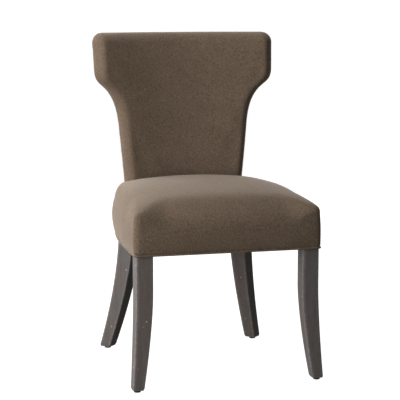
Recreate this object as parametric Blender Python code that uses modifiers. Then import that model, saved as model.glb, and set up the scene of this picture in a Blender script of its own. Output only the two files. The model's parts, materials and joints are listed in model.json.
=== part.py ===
"""Upholstered dining chair with a hammerhead wing back, as an assembly of separate pieces.

Metres, +Z up. The chair faces -Y and stands on Z = 0. Left and right are as seen from the front,
so left is at -X.
"""

import math

import bmesh
import bpy
from mathutils import Matrix, Vector
from mathutils.geometry import interpolate_bezier

# Driving sizes of the whole chair
OVERALL_HEIGHT = 0.965
SEAT_FRONT_Y = -0.2791
SEAT_WIDTH = 0.535
SEAT_DEPTH = 0.477
SEAT_TAPER = 0.0162
FRONT_CORNER = 0.013
LEAST_CORNER = 0.004
REAR_CORNER_LEAD = 0.017
REAR_CORNER_NIP = 0.0076
REAR_WALL_RADIUS = 0.900
REAR_FADE = 0.045

# Seat frame
SEAT_THICKNESS = 0.1645
RAIL_HEIGHT = 0.073
RAIL_THICKNESS = 0.022
PADDING = 0.006
BLOCK_THICKNESS = 0.026
BLOCK_HEIGHT = 0.046
BLOCK_REACH = 0.120
BLOCK_RISE = 0.012

# Seat upholstery
SEAT_CROWN = 0.5415
SIDE_FALL = 0.019
FRONT_FALL = 0.031
EDGE_ROUND = 0.034
FRONT_ROLL = 0.055
CORNER_ROUND = 0.011
CORNER_FADE = 0.160
SIDE_BULGE = 0.0130
FABRIC = 0.0016
FOAM_GAP = 0.0026
WELT = 0.0028
DUST_SHEET = 0.0010
SPRING_RISE = 0.020
SPRING_WIRE = 0.0018
SPRING_BARS = 14
SPRING_HALF_WIDTH = 0.016
PAD = 0.003
WELL_MARGIN = 0.0050
HEM_RISE = 0.0015
SKIRT_RISE = 0.016
CLIP = 0.0012
CLIP_TONGUE = 0.004
CLIP_HALF_WIDTH = 0.007
PAD_MARGIN = 0.004
PAD_SHORT = 0.055
BACK_ROOM = 0.0010

# Legs
FRONT_LEG = 0.0470
FRONT_FOOT_X = 0.031
FRONT_FOOT_Y = 0.033
FRONT_SWEEP_TOP = 0.270
FRONT_OUT = 0.022
FRONT_FORWARD = 0.018
REAR_LEG = 0.054
REAR_FOOT = 0.036
REAR_LEG_SPAN = 0.3452
REAR_LEG_AHEAD = 0.0051
REAR_LEG_MARGIN = 0.0489
REAR_SWEEP = 0.088
LEG_CURVE = 1.55
LEG_EDGE = 0.0018
GLIDE_HEIGHT = 0.006
GLIDE_RADIUS = 0.010
NAIL_RADIUS = 0.0014
NAIL_LENGTH = 0.014

# Back
BACK_RADIUS = 0.650
BACK_LEAN = 0.034
LEAN_RISE = 0.0085
BACK_RISE = 0.010
WAIST = 0.332
WAIST_FLARE = 0.088
WING_SPAN = 0.520
WING_DEPTH = 0.1565
NECK_DEPTH = 0.275
WING_CORNER = 0.028
WING_NIP = 0.0025
BACK_THICKNESS = 0.0550
BACK_EDGE = 0.018
BACK_COLUMNS = 12
FRAME_DEPTH = 0.0287
FRAME_THICKNESS = 0.024
FRAME_MARGIN = 0.013
POST_WIDTH = 0.042
POST_FLARE = 0.100
POST_CLEAR = 0.002
CREST_HEIGHT = 0.038
WING_RAIL_HEIGHT = 0.030
LUMBAR_HEIGHT = 0.045
STRAP = 0.0008
STRAP_WIDTH = 0.050
STRAP_PLACES = (0.14, 0.35, 0.54)
WING_RAIL_RISE = 0.022
LUMBAR_RISE = 0.045
STILE_WIDTH = 0.030
FILLET_RISE = 0.010
FILLET_TIP = 0.003

# Joinery
FIT = 0.0003
LAYER_GAP = 0.0008
TENON = 0.010
TENON_LENGTH = 0.018
TENON_SHOULDER = 0.008
TENON_ROOT = 0.006
BACK_SHOULDER = 0.007
STUB_LENGTH = 0.010
POST_TENON = 0.020
BOLT_RADIUS = 0.003
BOLT_HEAD = 0.006
SCREW_RADIUS = 0.002
SCREW_HEAD = 0.004
SCREW_LENGTH = 0.040
LEG_BOLT_LENGTH = 0.052
FASTENER_STEP = 0.010
POST_BOLT_EDGE = 0.018

# Heights and positions that follow from the sizes above
RAIL_BOTTOM = SEAT_CROWN - SEAT_THICKNESS
RAIL_TOP = RAIL_BOTTOM + RAIL_HEIGHT
LEAN_START = SEAT_CROWN + LEAN_RISE
LEG_BOTTOM = GLIDE_HEIGHT + FIT
BACK_BOTTOM = RAIL_TOP + BACK_RISE
BACK_AXIS_Y = SEAT_FRONT_Y + SEAT_DEPTH - BACK_RADIUS
WALL_AXIS_Y = SEAT_FRONT_Y + SEAT_DEPTH + BACK_THICKNESS - REAR_WALL_RADIUS
SIDE_START_Y = SEAT_FRONT_Y + FRONT_CORNER
REAR_CORNER_Y = SEAT_FRONT_Y + SEAT_DEPTH - REAR_CORNER_LEAD
FRONT_LEG_X = SEAT_WIDTH / 2 - PADDING - FRONT_LEG / 2
FRONT_LEG_Y = SEAT_FRONT_Y + PADDING + FRONT_LEG / 2
REAR_LEG_X = REAR_LEG_SPAN / 2
REAR_LEG_Y = SEAT_FRONT_Y + SEAT_DEPTH - REAR_LEG_AHEAD
REAR_CORNER_END = REAR_LEG_X - REAR_CORNER_NIP
SIDE_RUN = (REAR_CORNER_Y - SIDE_START_Y) / SEAT_DEPTH
SEAT_CURVE = (SEAT_WIDTH / 2 - SEAT_TAPER * SIDE_RUN - REAR_LEG_X - REAR_LEG_MARGIN) / SIDE_RUN**3
FRONT_RAIL_BACK = SEAT_FRONT_Y + PADDING + RAIL_THICKNESS
REAR_RAIL_DEPTH = FRAME_DEPTH - FIT - RAIL_THICKNESS
SPRING_TOP = RAIL_TOP + SPRING_RISE
PAD_BOTTOM = SPRING_TOP + FIT
COVER_BOTTOM = RAIL_BOTTOM + HEM_RISE
DIAGONAL = math.sqrt(0.5)


# Scene and materials
for old in list(bpy.data.objects):
    bpy.data.objects.remove(old, do_unlink=True)
PARTS = bpy.data.collections.new("wing_dining_chair")
CUTTERS = bpy.data.collections.new("cutters")
bpy.context.scene.collection.children.link(PARTS)
bpy.context.scene.collection.children.link(CUTTERS)


def material(name, colour, roughness, metallic=0.0):
    made = bpy.data.materials.new(name)
    made.use_nodes = True
    shader = made.node_tree.nodes["Principled BSDF"]
    shader.inputs["Base Color"].default_value = (*colour, 1.0)
    shader.inputs["Roughness"].default_value = roughness
    shader.inputs["Metallic"].default_value = metallic
    made.diffuse_color = (*colour, 1.0)
    return made


def piece(name, mesh, colour, roughness, metallic=0.0):
    """A named sub-part with a material of its own."""
    obj = bpy.data.objects.new(name, mesh)
    PARTS.objects.link(obj)
    obj.data.materials.append(material(name + "_finish", colour, roughness, metallic))
    return obj


def cutter(name, mesh):
    obj = bpy.data.objects.new(name, mesh)
    CUTTERS.objects.link(obj)
    obj.hide_render = True
    obj.display_type = "WIRE"
    return obj


def combine(target, tool, operation="DIFFERENCE"):
    modifier = target.modifiers.new(operation.lower() + "_" + tool.name, "BOOLEAN")
    modifier.operation = operation
    modifier.solver = "EXACT"
    modifier.object = tool


def bevel(target, width, segments=1, angle=40.0):
    modifier = target.modifiers.new("edges", "BEVEL")
    modifier.width = width
    modifier.segments = segments
    modifier.limit_method = "ANGLE"
    modifier.angle_limit = math.radians(angle)


HARDWOOD = ((0.36, 0.25, 0.15), 0.7)
LEG_WOOD = ((0.055, 0.045, 0.040), 0.5)
TAUPE = ((0.175, 0.130, 0.095), 0.9)
STEEL = ((0.45, 0.45, 0.46), 0.35, 1.0)
BLACK_WIRE = ((0.05, 0.05, 0.055), 0.4, 1.0)
FOAM = ((0.80, 0.74, 0.58), 0.95)
BLACK_SHEET = ((0.02, 0.02, 0.022), 0.95)
JUTE = ((0.42, 0.30, 0.17), 0.95)
GLIDE = ((0.03, 0.03, 0.032), 0.4)


# Shapes that the pieces share
def to_mesh(bm, name, facing=None):
    """The mesh with its faces out; an open skin says which way most of it faces."""
    bm.normal_update()
    bmesh.ops.recalc_face_normals(bm, faces=bm.faces[:])
    if facing:
        bm.normal_update()
        outward = sum(face.normal.dot(facing) * face.calc_area() for face in bm.faces)
    else:
        outward = bm.calc_volume(signed=True)
    if outward < 0:
        bmesh.ops.reverse_faces(bm, faces=bm.faces[:])
    mesh = bpy.data.meshes.new(name)
    bm.to_mesh(mesh)
    bm.free()
    return mesh


def cells(name, place, across=1, along=1, levels=(0.0, 1.0)):
    """A box of unit sides cut into cells, each corner moved by place(u, v, level)."""
    bm = bmesh.new()
    low, high = levels[0], levels[-1]
    unit = Matrix.Translation((0.5, 0.5, (low + high) / 2)) @ Matrix.Diagonal((1, 1, high - low, 1))
    bmesh.ops.create_cube(bm, size=1.0, matrix=unit)
    planes = [(Vector((i / across, 0, 0)), Vector((1, 0, 0))) for i in range(1, across)]
    planes += [(Vector((0, i / along, 0)), Vector((0, 1, 0))) for i in range(1, along)]
    planes += [(Vector((0, 0, level)), Vector((0, 0, 1))) for level in levels[1:-1]]
    for point, normal in planes:
        everything = bm.verts[:] + bm.edges[:] + bm.faces[:]
        bmesh.ops.bisect_plane(bm, geom=everything, plane_co=point, plane_no=normal)
    for vert in bm.verts:
        vert.co = place(*vert.co)
    return to_mesh(bm, name)


def box(name, low, high):
    size = [b - a for a, b in zip(low, high)]
    start = Vector(low)

    def place(u, v, w):
        return start + Vector((u * size[0], v * size[1], w * size[2]))

    return cells(name, place)


def corners_only(loop):
    """The outline without points that lie on a straight stretch."""
    kept = []
    for i, (x, y) in enumerate(loop):
        before, after = loop[i - 1], loop[(i + 1) % len(loop)]
        turn = (x - before[0]) * (after[1] - y) - (y - before[1]) * (after[0] - x)
        if abs(turn) > 1e-8:
            kept.append((x, y))
    return kept


def prism(name, plan, bottom, top):
    """A flat outline raised from bottom to top."""
    loop = corners_only(plan)
    curve = bpy.data.curves.new(name + "_outline", "CURVE")
    curve.dimensions = "2D"
    curve.fill_mode = "BOTH"
    curve.extrude = (top - bottom) / 2
    spline = curve.splines.new("POLY")
    spline.points.add(len(loop) - 1)
    for point, (x, y) in zip(spline.points, loop):
        point.co = (x, y, 0.0, 1.0)
    spline.use_cyclic_u = True
    holder = bpy.data.objects.new(name + "_outline", curve)
    CUTTERS.objects.link(holder)
    holder.hide_render = True
    graph = bpy.context.evaluated_depsgraph_get()
    bm = bmesh.new()
    bm.from_mesh(bpy.data.meshes.new_from_object(holder.evaluated_get(graph)))
    bpy.data.objects.remove(holder, do_unlink=True)
    bmesh.ops.remove_doubles(bm, verts=bm.verts[:], dist=1e-6)
    bmesh.ops.translate(bm, verts=bm.verts[:], vec=(0.0, 0.0, (bottom + top) / 2))
    return to_mesh(bm, name)


def turned(obj, steps):
    modifier = obj.modifiers.new("turn", "SCREW")
    modifier.axis = "Z"
    modifier.steps = steps
    modifier.render_steps = steps
    modifier.use_merge_vertices = True
    modifier.merge_threshold = 0.00001


def profile(name, points):
    """A half section for turning, listed from its top on the axis to its bottom on the axis."""
    mesh = bpy.data.meshes.new(name)
    mesh.from_pydata([(r, 0.0, z) for r, z in points], [(i, i + 1) for i in range(len(points) - 1)], [])
    return mesh


def tube(name, points, radius, colour, roughness, metallic=0.0, sides=1):
    curve = bpy.data.curves.new(name, "CURVE")
    curve.dimensions = "3D"
    curve.bevel_depth = radius
    curve.bevel_resolution = sides
    curve.use_fill_caps = True
    spline = curve.splines.new("POLY")
    spline.points.add(len(points) - 1)
    for point, co in zip(spline.points, points):
        point.co = (*co, 1.0)
    return piece(name, curve, colour, roughness, metallic)


def fastener(name, head, direction, length, radius, head_radius, through, finish):
    """A screw from its head point along direction, with its hole cut in each piece it goes through."""
    turn = Vector((0, 0, -1)).rotation_difference(Vector(direction))

    def section(grow):
        depth = head_radius
        return [
            (0.0, grow),
            (head_radius + grow, grow),
            (head_radius + grow, -depth * 0.4 - grow),
            (radius + grow, -depth - grow),
            (radius + grow, -length * 0.85 - grow),
            (0.0, -length - 2 * grow),
        ]

    screw = piece(name, profile(name, section(0.0)), *finish)
    hole = cutter(name + "_hole", profile(name + "_hole", section(FIT)))
    for obj in (screw, hole):
        turned(obj, 8)
        obj.rotation_mode = "QUATERNION"
        obj.rotation_quaternion = turn
        obj.location = head
    for other in through:
        combine(other, hole)
    return screw


# Seat outline
def side_x(y):
    run = (y - SIDE_START_Y) / SEAT_DEPTH
    return SEAT_WIDTH / 2 - SEAT_TAPER * run - SEAT_CURVE * run**3


def side_slope(y):
    run = (y - SIDE_START_Y) / SEAT_DEPTH
    return -(SEAT_TAPER + 3 * SEAT_CURVE * run**2) / SEAT_DEPTH


def rear_y(x, depth):
    return BACK_AXIS_Y + math.sqrt((BACK_RADIUS + depth) ** 2 - x * x)


def rear_wall(x):
    return WALL_AXIS_Y + math.sqrt(REAR_WALL_RADIUS**2 - x * x)


def rear_corner(count):
    """The rounded rear corner, from the side to the rear wall."""
    start = Vector((side_x(REAR_CORNER_Y), REAR_CORNER_Y))
    end = Vector((REAR_CORNER_END, rear_wall(REAR_CORNER_END)))
    along = Vector((side_slope(start.y), 1.0))
    back = Vector((1.0, -end.x / (end.y - WALL_AXIS_Y)))
    gap = end - start
    reach = (gap.x * back.y - gap.y * back.x) / (along.x * back.y - along.y * back.x)
    corner = start + along * reach
    first = start.lerp(corner, 0.62)
    second = end.lerp(corner, 0.62)
    return [(point.x, point.y) for point in interpolate_bezier(start, first, second, end, count)]


def side_points(count=9):
    rows = [SIDE_START_Y + (REAR_CORNER_Y - SIDE_START_Y) * i / count for i in range(count)]
    return [(side_x(y), y) for y in rows] + rear_corner(7)


def inset_line(points, inset):
    """The open line moved to its left by inset, which is inward for a line that runs counterclockwise."""
    moved = []
    for i, (x, y) in enumerate(points):
        before = points[max(i - 1, 0)]
        after = points[min(i + 1, len(points) - 1)]
        along = Vector((after[0] - before[0], after[1] - before[1])).normalized()
        moved.append((x - along.y * inset, y + along.x * inset))
    return moved


def half_loop(inset):
    """The right half of the seat outline, moved inward by inset, from front middle to rear middle."""
    front = SEAT_FRONT_Y + inset
    radius = max(FRONT_CORNER - inset, LEAST_CORNER)
    edge = SEAT_WIDTH / 2 - inset
    arc = []
    for i in range(4):
        turn = math.radians(30 * i)
        arc.append((edge - radius + radius * math.sin(turn), front + radius - radius * math.cos(turn)))
    side = [point for point in inset_line(side_points(), inset) if point[1] > front + radius + PADDING / 3]
    rear = [(x, rear_wall(x) - inset) for x in (REAR_CORNER_END * 0.66, REAR_CORNER_END * 0.33, 0.0)]
    return [(0.0, front), (edge * 0.5, front)] + arc + side + rear


def loop(inset):
    right = half_loop(inset)
    left = [(-x, y) for x, y in reversed(right[1:-1])]
    return right + left


# Seat cushion surface
CROWN_Y = SEAT_FRONT_Y + SEAT_DEPTH * 0.62


def crown(x, y):
    across = x / (SEAT_WIDTH / 2)
    along = (y - CROWN_Y) / (CROWN_Y - SEAT_FRONT_Y)
    if along > 0:
        along *= 0.8
    return SEAT_CROWN - SIDE_FALL * across**2 - FRONT_FALL * along**2


def from_corner(x, y):
    """0 at the sewn front corners, rising to 1 away from them."""
    away = math.hypot(abs(x) - SEAT_WIDTH / 2, y - SEAT_FRONT_Y)
    share = min(away / CORNER_FADE, 1.0)
    return share * share * (3 - 2 * share)


def edge_round(x, y):
    """The rounding of the top edge: tight at the front corners, softer at the sides, full in front."""
    full = FRONT_ROLL if y < SIDE_START_Y else EDGE_ROUND
    return CORNER_ROUND + (full - CORNER_ROUND) * from_corner(x, y)


def side_swell(x, y, rise):
    """How far the wall stands out: least at the sewn front corners and along the flat rear wall."""
    curve = math.sin(math.pi * (0.12 + 0.70 * rise)) - math.sin(math.pi * 0.12)
    fullness = from_corner(x, y)
    if y > CROWN_Y:
        fullness *= min(max((abs(x) - REAR_CORNER_END) / REAR_FADE, 0.0), 1.0)
    return SIDE_BULGE * curve * (0.25 + 0.75 * fullness)


def cushion_rings(shrink, bottom):
    """Rings of the cushion from its hem to its crown, all moved inward by shrink."""
    rim = loop(0.0)
    centre = Vector((0.0, SEAT_FRONT_Y + SEAT_DEPTH * 0.55))
    normals = [Vector(b) - Vector(a) for a, b in zip(loop(0.0), loop(0.002))]
    rings = []
    for share in (0.0, 0.34, 0.67, 1.0):
        ring = []
        for (x, y), inward in zip(rim, normals):
            inward = inward.normalized()
            radius = edge_round(x, y)
            foot = crown(x, y) - radius
            height = bottom + (foot - bottom) * share
            rise = max(height - COVER_BOTTOM, 0.0) / (foot - COVER_BOTTOM)
            out = shrink - side_swell(x, y, rise)
            ring.append(Vector((x + inward.x * out, y + inward.y * out, height)))
        rings.append(ring)
    tops = []
    for turn in (30.0, 60.0, 90.0):
        ring = []
        angle = math.radians(turn)
        for (x, y), inward, wall in zip(rim, normals, rings[3]):
            inward = inward.normalized()
            radius = edge_round(x, y) - shrink
            step = radius * (1 - math.cos(angle))
            flat = Vector((wall.x + inward.x * step, wall.y + inward.y * step))
            drop = radius * (1 - math.sin(angle)) + shrink
            ring.append(Vector((flat.x, flat.y, crown(flat.x, flat.y) - drop)))
        tops.append(ring)
    inner = tops[-1]
    for share in (0.80, 0.58, 0.36, 0.15):
        ring = []
        for point in inner:
            flat = centre + (point.xy - centre) * share
            ring.append(Vector((flat.x, flat.y, crown(flat.x, flat.y) - shrink)))
        tops.append(ring)
    return rings + tops, Vector((centre.x, centre.y, crown(centre.x, centre.y) - shrink))


def loft(name, rings, tip, closed):
    """A skin through the rings up to the tip, with its foot closed or left open."""
    bm = bmesh.new()
    rows = [[bm.verts.new(co) for co in ring] for ring in rings]
    count = len(rows[0])
    for lower, upper in zip(rows, rows[1:]):
        for i in range(count):
            j = (i + 1) % count
            bm.faces.new((lower[i], lower[j], upper[j], upper[i]))
    top = bm.verts.new(tip)
    for i in range(count):
        bm.faces.new((rows[-1][i], rows[-1][(i + 1) % count], top))
    if closed:
        bm.faces.new(list(reversed(rows[0])))
        return to_mesh(bm, name)
    return to_mesh(bm, name, Vector((0.0, 0.0, 1.0)))


# Back surface
def lean(z):
    run = max(z - LEAN_START, 0.0) / (OVERALL_HEIGHT - LEAN_START)
    return BACK_LEAN * run**1.5


def back_point(x, depth, z):
    """A point of the back: x and height as seen from the front, depth behind the front surface."""
    radius = BACK_RADIUS + lean(z)
    turn = math.asin(x / radius)
    return Vector(((radius + depth) * math.sin(turn), BACK_AXIS_Y + (radius + depth) * math.cos(turn), z))


def back_outline():
    """Half width and height along the edge of the back, from the seat up to the top middle."""
    neck_z = OVERALL_HEIGHT - NECK_DEPTH
    neck = WAIST / 2 + WAIST_FLARE * (neck_z - BACK_BOTTOM)
    wing = WING_SPAN / 2
    wing_z = OVERALL_HEIGHT - WING_DEPTH
    slope = Vector((0.766, 0.643))
    knee = Vector((neck + 0.66 * (wing - neck), wing_z))
    reach = wing - neck
    line = [(WAIST / 2 + WAIST_FLARE * (z - BACK_BOTTOM), z) for z in (BACK_BOTTOM, LEAN_START)]
    middle = LEAN_START + (neck_z - LEAN_START) * 0.5
    line.append((WAIST / 2 + WAIST_FLARE * (middle - BACK_BOTTOM), middle))
    start = Vector((neck, neck_z))
    first = start + Vector((WAIST_FLARE, 1.0)) * reach * 0.85
    shoulder = interpolate_bezier(start, first, knee - slope * reach * 0.45, knee, 6)
    side = Vector((wing - WING_NIP, wing_z + reach * 0.70))
    rise = Vector((0.02, 1.0)) * reach * 0.38
    under = interpolate_bezier(knee, knee + slope * reach * 0.28, side - rise, side, 5)
    line += [(point.x, point.y) for point in shoulder[:-1] + under]
    top = OVERALL_HEIGHT - WING_CORNER
    for i in range(4):
        turn = math.radians(30 * i)
        out = wing - WING_CORNER + WING_CORNER * math.cos(turn)
        line.append((out, top + WING_CORNER * math.sin(turn)))
    return line


OUTLINE = back_outline()


def inset_outline(inset, first_z):
    moved = inset_line(OUTLINE, inset)
    moved[0] = (moved[0][0], first_z)
    return moved


def width_at(z, inset=0.0):
    """Half width of the back at a height."""
    line = OUTLINE
    for (w0, z0), (w1, z1) in zip(line, line[1:]):
        if z0 <= z <= z1 and z1 > z0:
            return w0 + (w1 - w0) * (z - z0) / (z1 - z0) - inset
    return line[0][0] - inset


def levels_between(low, high):
    return [low] + [z for _, z in OUTLINE if low + 0.002 < z < high - 0.002] + [high]


def grid_rows(bm, inset, depth, first_z):
    """Rows of points over the back at one depth, from the seat up."""
    line = inset_outline(inset, first_z)
    shares = [2 * i / BACK_COLUMNS - 1 for i in range(BACK_COLUMNS + 1)]
    return [[bm.verts.new(back_point(share * half, depth, z)) for share in shares] for half, z in line]


def rim_of(rows):
    """The edge of a grid: up the left, along the top and down the right."""
    return [row[0] for row in rows] + rows[-1][1:-1] + [row[-1] for row in reversed(rows)]


def fill(bm, first, second):
    for i in range(len(first) - 1):
        bm.faces.new((first[i], first[i + 1], second[i + 1], second[i]))


def back_form(name, shrink, edge, rim_depth, first_z, closed):
    """The padded front of the back, its rounded edge and its sides; a closed form has a rear face too."""
    bm = bmesh.new()
    front = grid_rows(bm, edge, shrink, first_z)
    for lower, upper in zip(front, front[1:]):
        fill(bm, lower, upper)
    last = rim_of(front)
    radius = edge - shrink
    steps = []
    for turn in (60.0, 30.0, 0.0):
        angle = math.radians(turn)
        steps.append((shrink + radius * (1 - math.cos(angle)), shrink + radius * (1 - math.sin(angle))))
    for inset, depth in steps:
        rows = grid_rows(bm, inset, depth, first_z)
        ring = rim_of(rows)
        fill(bm, last, ring)
        last = ring
    rear = grid_rows(bm, shrink, rim_depth, first_z)
    ring = rim_of(rear)
    fill(bm, last, ring)
    if closed:
        for lower, upper in zip(rear, rear[1:]):
            fill(bm, lower, upper)
    bmesh.ops.delete(bm, geom=[vert for vert in bm.verts if not vert.link_faces], context="VERTS")
    if not closed:
        return to_mesh(bm, name, Vector((0.0, -1.0, 0.0)))
    bmesh.ops.holes_fill(bm, edges=[item for item in bm.edges if item.is_boundary])
    return to_mesh(bm, name)


def slab(name, inset, depth, rear_depth, first_z):
    """A closed panel that follows the back between two depths."""
    bm = bmesh.new()
    front = grid_rows(bm, inset, depth, first_z)
    rear = grid_rows(bm, inset, rear_depth, first_z)
    for rows in (front, rear):
        for lower, upper in zip(rows, rows[1:]):
            fill(bm, lower, upper)
    fill(bm, rim_of(front), rim_of(rear))
    fill(bm, front[0], rear[0])
    return to_mesh(bm, name)


def back_board(name, edges, low, high, front, rear, across=1):
    """A frame member of the back; edges(z) gives the two x positions it runs between."""

    def place(u, v, z):
        first, second = edges(z)
        return back_point(first + (second - first) * u, front + (rear - front) * v, z)

    return cells(name, place, across=across, levels=levels_between(low, high))


# Legs
def front_leg_mesh(name, side, grow=0.0):
    top = RAIL_TOP + grow

    def place(u, v, z):
        bend = max(0.0, 1 - z / FRONT_SWEEP_TOP) ** LEG_CURVE
        half_x = (FRONT_LEG + (FRONT_FOOT_X - FRONT_LEG) * bend) / 2 + grow
        half_y = (FRONT_LEG + (FRONT_FOOT_Y - FRONT_LEG) * bend) / 2 + grow
        x = FRONT_LEG_X + FRONT_OUT * bend + (2 * u - 1) * half_x
        y = FRONT_LEG_Y - FRONT_FORWARD * bend + (2 * v - 1) * half_y
        return Vector((side * x, y, z))

    rows = 9
    levels = [LEG_BOTTOM + (FRONT_SWEEP_TOP - LEG_BOTTOM) * i / rows for i in range(rows + 1)] + [top]
    return cells(name, place, levels=levels)


def rear_leg_mesh(name, side, grow=0.0):
    top = RAIL_TOP + grow

    def place(u, v, z):
        run = max(0.0, 1 - z / RAIL_BOTTOM)
        half = (REAR_LEG + (REAR_FOOT - REAR_LEG) * run) / 2 + grow
        sweep = REAR_SWEEP * run**LEG_CURVE
        out = sweep + (2 * u - 1) * half
        across = (2 * v - 1) * half
        x = REAR_LEG_X + (out - across) * DIAGONAL
        y = REAR_LEG_Y + (out + across) * DIAGONAL
        return Vector((side * x, y, z))

    rows = 10
    levels = [LEG_BOTTOM + (RAIL_BOTTOM - LEG_BOTTOM) * i / rows for i in range(rows + 1)] + [top]
    return cells(name, place, levels=levels)


SIDES = (("left", -1), ("right", 1))
front_legs, rear_legs, grown_front, grown_rear = {}, {}, {}, {}
for word, side in SIDES:
    front_legs[side] = piece("front_leg_" + word, front_leg_mesh("front_leg_" + word, side), *LEG_WOOD)
    rear_legs[side] = piece("rear_leg_" + word, rear_leg_mesh("rear_leg_" + word, side), *LEG_WOOD)
    for leg in (front_legs[side], rear_legs[side]):
        bevel(leg, LEG_EDGE)
    name = "front_leg_room_" + word
    grown_front[side] = cutter(name, front_leg_mesh(name, side, FIT))
    grown_rear[side] = cutter("rear_leg_room_" + word, rear_leg_mesh("rear_leg_room_" + word, side, FIT))

# Glides
GLIDE_SECTION = [
    (0.0, GLIDE_HEIGHT + NAIL_LENGTH),
    (NAIL_RADIUS, GLIDE_HEIGHT + NAIL_LENGTH * 0.8),
    (NAIL_RADIUS, GLIDE_HEIGHT),
    (GLIDE_RADIUS * 0.93, GLIDE_HEIGHT),
    (GLIDE_RADIUS, GLIDE_HEIGHT * 0.7),
    (GLIDE_RADIUS, GLIDE_HEIGHT * 0.3),
    (GLIDE_RADIUS * 0.85, 0.0),
    (0.0, 0.0),
]
NAIL_HOLE = [
    (0.0, GLIDE_HEIGHT + NAIL_LENGTH + FIT),
    (NAIL_RADIUS + FIT, GLIDE_HEIGHT + NAIL_LENGTH + FIT),
    (NAIL_RADIUS + FIT, 0.0),
    (0.0, 0.0),
]
REAR_FOOT_MOVE = REAR_SWEEP * DIAGONAL * 0.975
for word, side in SIDES:
    spots = (
        ("front", front_legs[side], FRONT_LEG_X + FRONT_OUT, FRONT_LEG_Y - FRONT_FORWARD),
        ("rear", rear_legs[side], REAR_LEG_X + REAR_FOOT_MOVE, REAR_LEG_Y + REAR_FOOT_MOVE),
    )
    for row, leg, x, y in spots:
        name = "glide_" + row + "_" + word
        glide = piece(name, profile(name, GLIDE_SECTION), *GLIDE)
        hole = cutter(name + "_hole", profile(name + "_hole", NAIL_HOLE))
        for obj in (glide, hole):
            turned(obj, 14)
            obj.location = (side * x, y, 0.0)
        combine(leg, hole)

# Front rail with a tenon at each end
front_rail_end = FRONT_LEG_X - FRONT_LEG / 2 - FIT
front_face = SEAT_FRONT_Y + PADDING
front_rail = piece(
    "front_rail",
    box(
        "front_rail",
        (-front_rail_end, front_face, RAIL_BOTTOM),
        (front_rail_end, FRONT_RAIL_BACK, RAIL_TOP),
    ),
    *HARDWOOD,
)
tenon_middle = (front_face + FRONT_RAIL_BACK) / 2
tenon_low = RAIL_BOTTOM + TENON_SHOULDER
tenon_high = RAIL_TOP - TENON_SHOULDER


def tenon_pair(name, low, high, rail, leg):
    """A tenon joined to its rail, and its mortise cut a fit larger in the leg."""
    combine(rail, cutter(name + "_tenon", box(name + "_tenon", low, high)), "UNION")
    wide_low = [value - FIT for value in low]
    wide_high = [value + FIT for value in high]
    combine(leg, cutter(name + "_mortise", box(name + "_mortise", wide_low, wide_high)))


for word, side in SIDES:
    ends = sorted((side * (front_rail_end - TENON_ROOT), side * (front_rail_end + TENON_LENGTH)))
    tenon_pair(
        "front_rail_" + word,
        (ends[0], tenon_middle - TENON / 2, tenon_low),
        (ends[1], tenon_middle + TENON / 2, tenon_high),
        front_rail,
        front_legs[side],
    )

# Rear rail, curved with the back and butted between the rear legs
rear_rail = piece(
    "rear_rail",
    cells(
        "rear_rail",
        lambda u, v, z: back_point(
            (2 * u - 1) * REAR_LEG_X, REAR_RAIL_DEPTH + RAIL_THICKNESS * v, z
        ),
        across=8,
        levels=(RAIL_BOTTOM, RAIL_TOP),
    ),
    *HARDWOOD,
)
for side in (-1, 1):
    combine(rear_rail, grown_rear[side])

# Side rails, sawn to the curve of the seat, tenoned in front and mitred against the rear legs
rail_front = FRONT_LEG_Y + FRONT_LEG / 2 + FIT
mitre = REAR_LEG_X - REAR_LEG_Y + REAR_LEG * DIAGONAL + 2 * FIT * DIAGONAL
side_rails, grown_rails = {}, {}


def side_rail_loop(side, grow):
    """The plan of a side rail, between its front shoulder and its mitre."""
    outer = inset_line(side_points(12), PADDING - grow)
    inner = inset_line(side_points(12), PADDING + RAIL_THICKNESS + grow)

    def trimmed(line):
        kept = []
        for (x0, y0), (x1, y1) in zip(line, line[1:]):
            if y0 < rail_front < y1:
                share = (rail_front - y0) / (y1 - y0)
                kept.append((x0 + (x1 - x0) * share, rail_front))
            if y0 >= rail_front and x0 - y0 > mitre:
                kept.append((x0, y0))
            if x0 - y0 > mitre >= x1 - y1:
                share = (x0 - y0 - mitre) / ((x0 - y0) - (x1 - y1))
                kept.append((x0 + (x1 - x0) * share, y0 + (y1 - y0) * share))
        return kept

    plan = trimmed(outer) + list(reversed(trimmed(inner)))
    if side > 0:
        return plan
    return [(-x, y) for x, y in reversed(plan)]


for word, side in SIDES:
    name = "side_rail_" + word
    mesh = prism(name, side_rail_loop(side, 0.0), RAIL_BOTTOM, RAIL_TOP)
    side_rails[side] = piece(name, mesh, *HARDWOOD)
    room = prism(name + "_room", side_rail_loop(side, FIT), RAIL_BOTTOM - FIT, RAIL_TOP + FIT)
    grown_rails[side] = cutter(name + "_room", room)
    middle = side_x(rail_front) - PADDING - RAIL_THICKNESS / 2
    ends = sorted((side * (middle - TENON / 2), side * (middle + TENON / 2)))
    tenon_pair(
        name,
        (ends[0], rail_front - TENON_LENGTH, tenon_low),
        (ends[1], rail_front + TENON_ROOT, tenon_high),
        side_rails[side],
        front_legs[side],
    )
rear_rail_room = cutter(
    "rear_rail_room",
    cells(
        "rear_rail_room",
        lambda u, v, z: back_point(
            (2 * u - 1) * REAR_LEG_X, REAR_RAIL_DEPTH - FIT + (BACK_THICKNESS + PADDING) * v, z
        ),
        across=8,
        levels=(RAIL_BOTTOM - FIT, RAIL_TOP + FIT),
    ),
)
front_rail_room = cutter(
    "front_rail_room",
    box(
        "front_rail_room",
        (-SEAT_WIDTH / 2, SEAT_FRONT_Y, RAIL_BOTTOM - FIT),
        (SEAT_WIDTH / 2, FRONT_RAIL_BACK + FIT, RAIL_TOP + FIT),
    ),
)

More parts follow.
